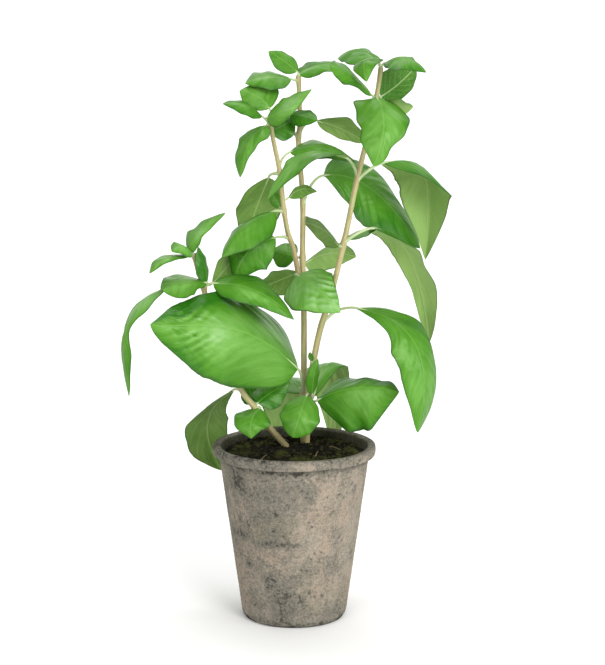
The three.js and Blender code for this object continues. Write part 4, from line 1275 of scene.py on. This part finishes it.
def twigsInto(pile, rng):
    # rootlets and bits of twig, those that reach the wall left out
    shape = soilShape
    for _ in range(shape["twigs"]):
        r = shape["twigReach"] * math.sqrt(rng.random())
        turn = rng.uniform(0, fullTurn)
        heading = rng.uniform(0, fullTurn)
        length = rng.uniform(*shape["twigLength"])
        points = []
        for share in np.linspace(0, 1, 7):
            x = r * math.cos(turn) + math.cos(heading) * length * (share - 0.5)
            y = r * math.sin(turn) + math.sin(heading) * length * (share - 0.5)
            heading += rng.uniform(-0.25, 0.25)
            points.append([x, y, soilHeight(x, y) + 0.1 + 0.8 * math.sin(math.pi * share)])
        twig = Pile()
        tubeInto(twig, points, np.linspace(*shape["twigRadii"], 7), 6, 0)
        verts = np.concatenate(twig.verts)
        if np.hypot(verts[:, 0], verts[:, 1]).max() < 46:
            addSoil(pile, verts, twig.faces, woody=0.6)


def makeSoil():
    rng = random.Random(41)
    pile = Pile()
    bodyInto(pile)
    crumbsInto(pile, rng)
    twigsInto(pile, rng)
    return pile.piece("potting_soil", soilMaterial(), 70)


soil = makeSoil()
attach(soil, "root")
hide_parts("soil")
print("soil made")


# Floor, light and camera, in metres

stageLook = {
    "floor": (0.86, 0.86, 0.85), "floorRough": 0.9,
    "world": (1.0, 1.0, 1.0), "worldStrength": 0.42,
    "front": -3.0, "back": 1.6, "halfWidth": 2.4, "sweep": 1.2, "wallTop": 1.7,
}
# each light's place, what it is turned to, size and power
lights = {
    "key_light": ((0.75, -1.40, 1.05), (0, 0, 0.24), 0.8, 22),
    "side_light": ((1.5, -0.7, 0.38), (0, 0, 0.22), 0.65, 10),
    "fill_light": ((-0.8, -1.6, 0.7), (0, 0, 0.22), 1.2, 16),
    "top_light": ((0.1, 0.2, 1.7), (0, 0, 0.25), 1.2, 6),
    "back_light": ((0, 0.9, 2.2), (0, 2.7, 0.9), 2.0, 60),
}
cameraSetup = {
    "place": (0, -1.250, 0.416), "pitch": 9.6, "lens": 96.36, "sensor": 36,
    "shift": (0.0125, 0.0059),
}


def makeFloor():
    # it sweeps up behind, so that no horizon shows
    look = stageLook
    back, sweep = look["back"], look["sweep"]
    line = [(look["front"], 0.0), (back, 0.0)]
    line += [(back + sweep * math.sin(a), sweep - sweep * math.cos(a))
             for a in np.linspace(0.1, math.pi / 2, 14)]
    line += [(back + sweep, look["wallTop"])]
    verts = [(x, y, z) for y, z in line for x in (-look["halfWidth"], look["halfWidth"])]
    faces = [(2 * i, 2 * i + 1, 2 * i + 3, 2 * i + 2) for i in range(len(line) - 1)]
    material, tree, shader = newMaterial("paleFloor")
    feed(tree, shader, {
        "Base Color": look["floor"], "Roughness": look["floorRough"], "Specular IOR Level": 0.1,
    })
    floor = addObject("floor", smoothMesh("floor", verts, faces, material))


def areaLight(name, place, aim, size, power):
    data = bpy.data.lights.new(name, "AREA")
    data.energy = power
    data.size = size
    light = addObject(name, data)
    light.location = place
    towards = Vector(aim) - Vector(place)
    light.rotation_euler = towards.to_track_quat("-Z", "Y").to_euler()


def makeCamera():
    setup = cameraSetup
    data = bpy.data.cameras.new("camera")
    data.lens = setup["lens"]
    data.sensor_width = setup["sensor"]
    data.shift_x, data.shift_y = setup["shift"]
    camera = addObject("camera", data)
    camera.location = setup["place"]
    camera.rotation_euler = (math.radians(90 - setup["pitch"]), 0, 0)
    bpy.context.scene.camera = camera


def makeWorld():
    world = bpy.data.worlds.new("softWorld")
    world.use_nodes = True
    feed(world.node_tree, world.node_tree.nodes["Background"], {
        "Color": stageLook["world"], "Strength": stageLook["worldStrength"],
    })
    bpy.context.scene.world = world
    bpy.context.scene.view_settings.view_transform = "Standard"
    bpy.context.scene.view_settings.look = "None"


makeFloor()
for name, settings in lights.items():
    areaLight(name, *settings)
makeWorld()
makeCamera()
print("stage made")
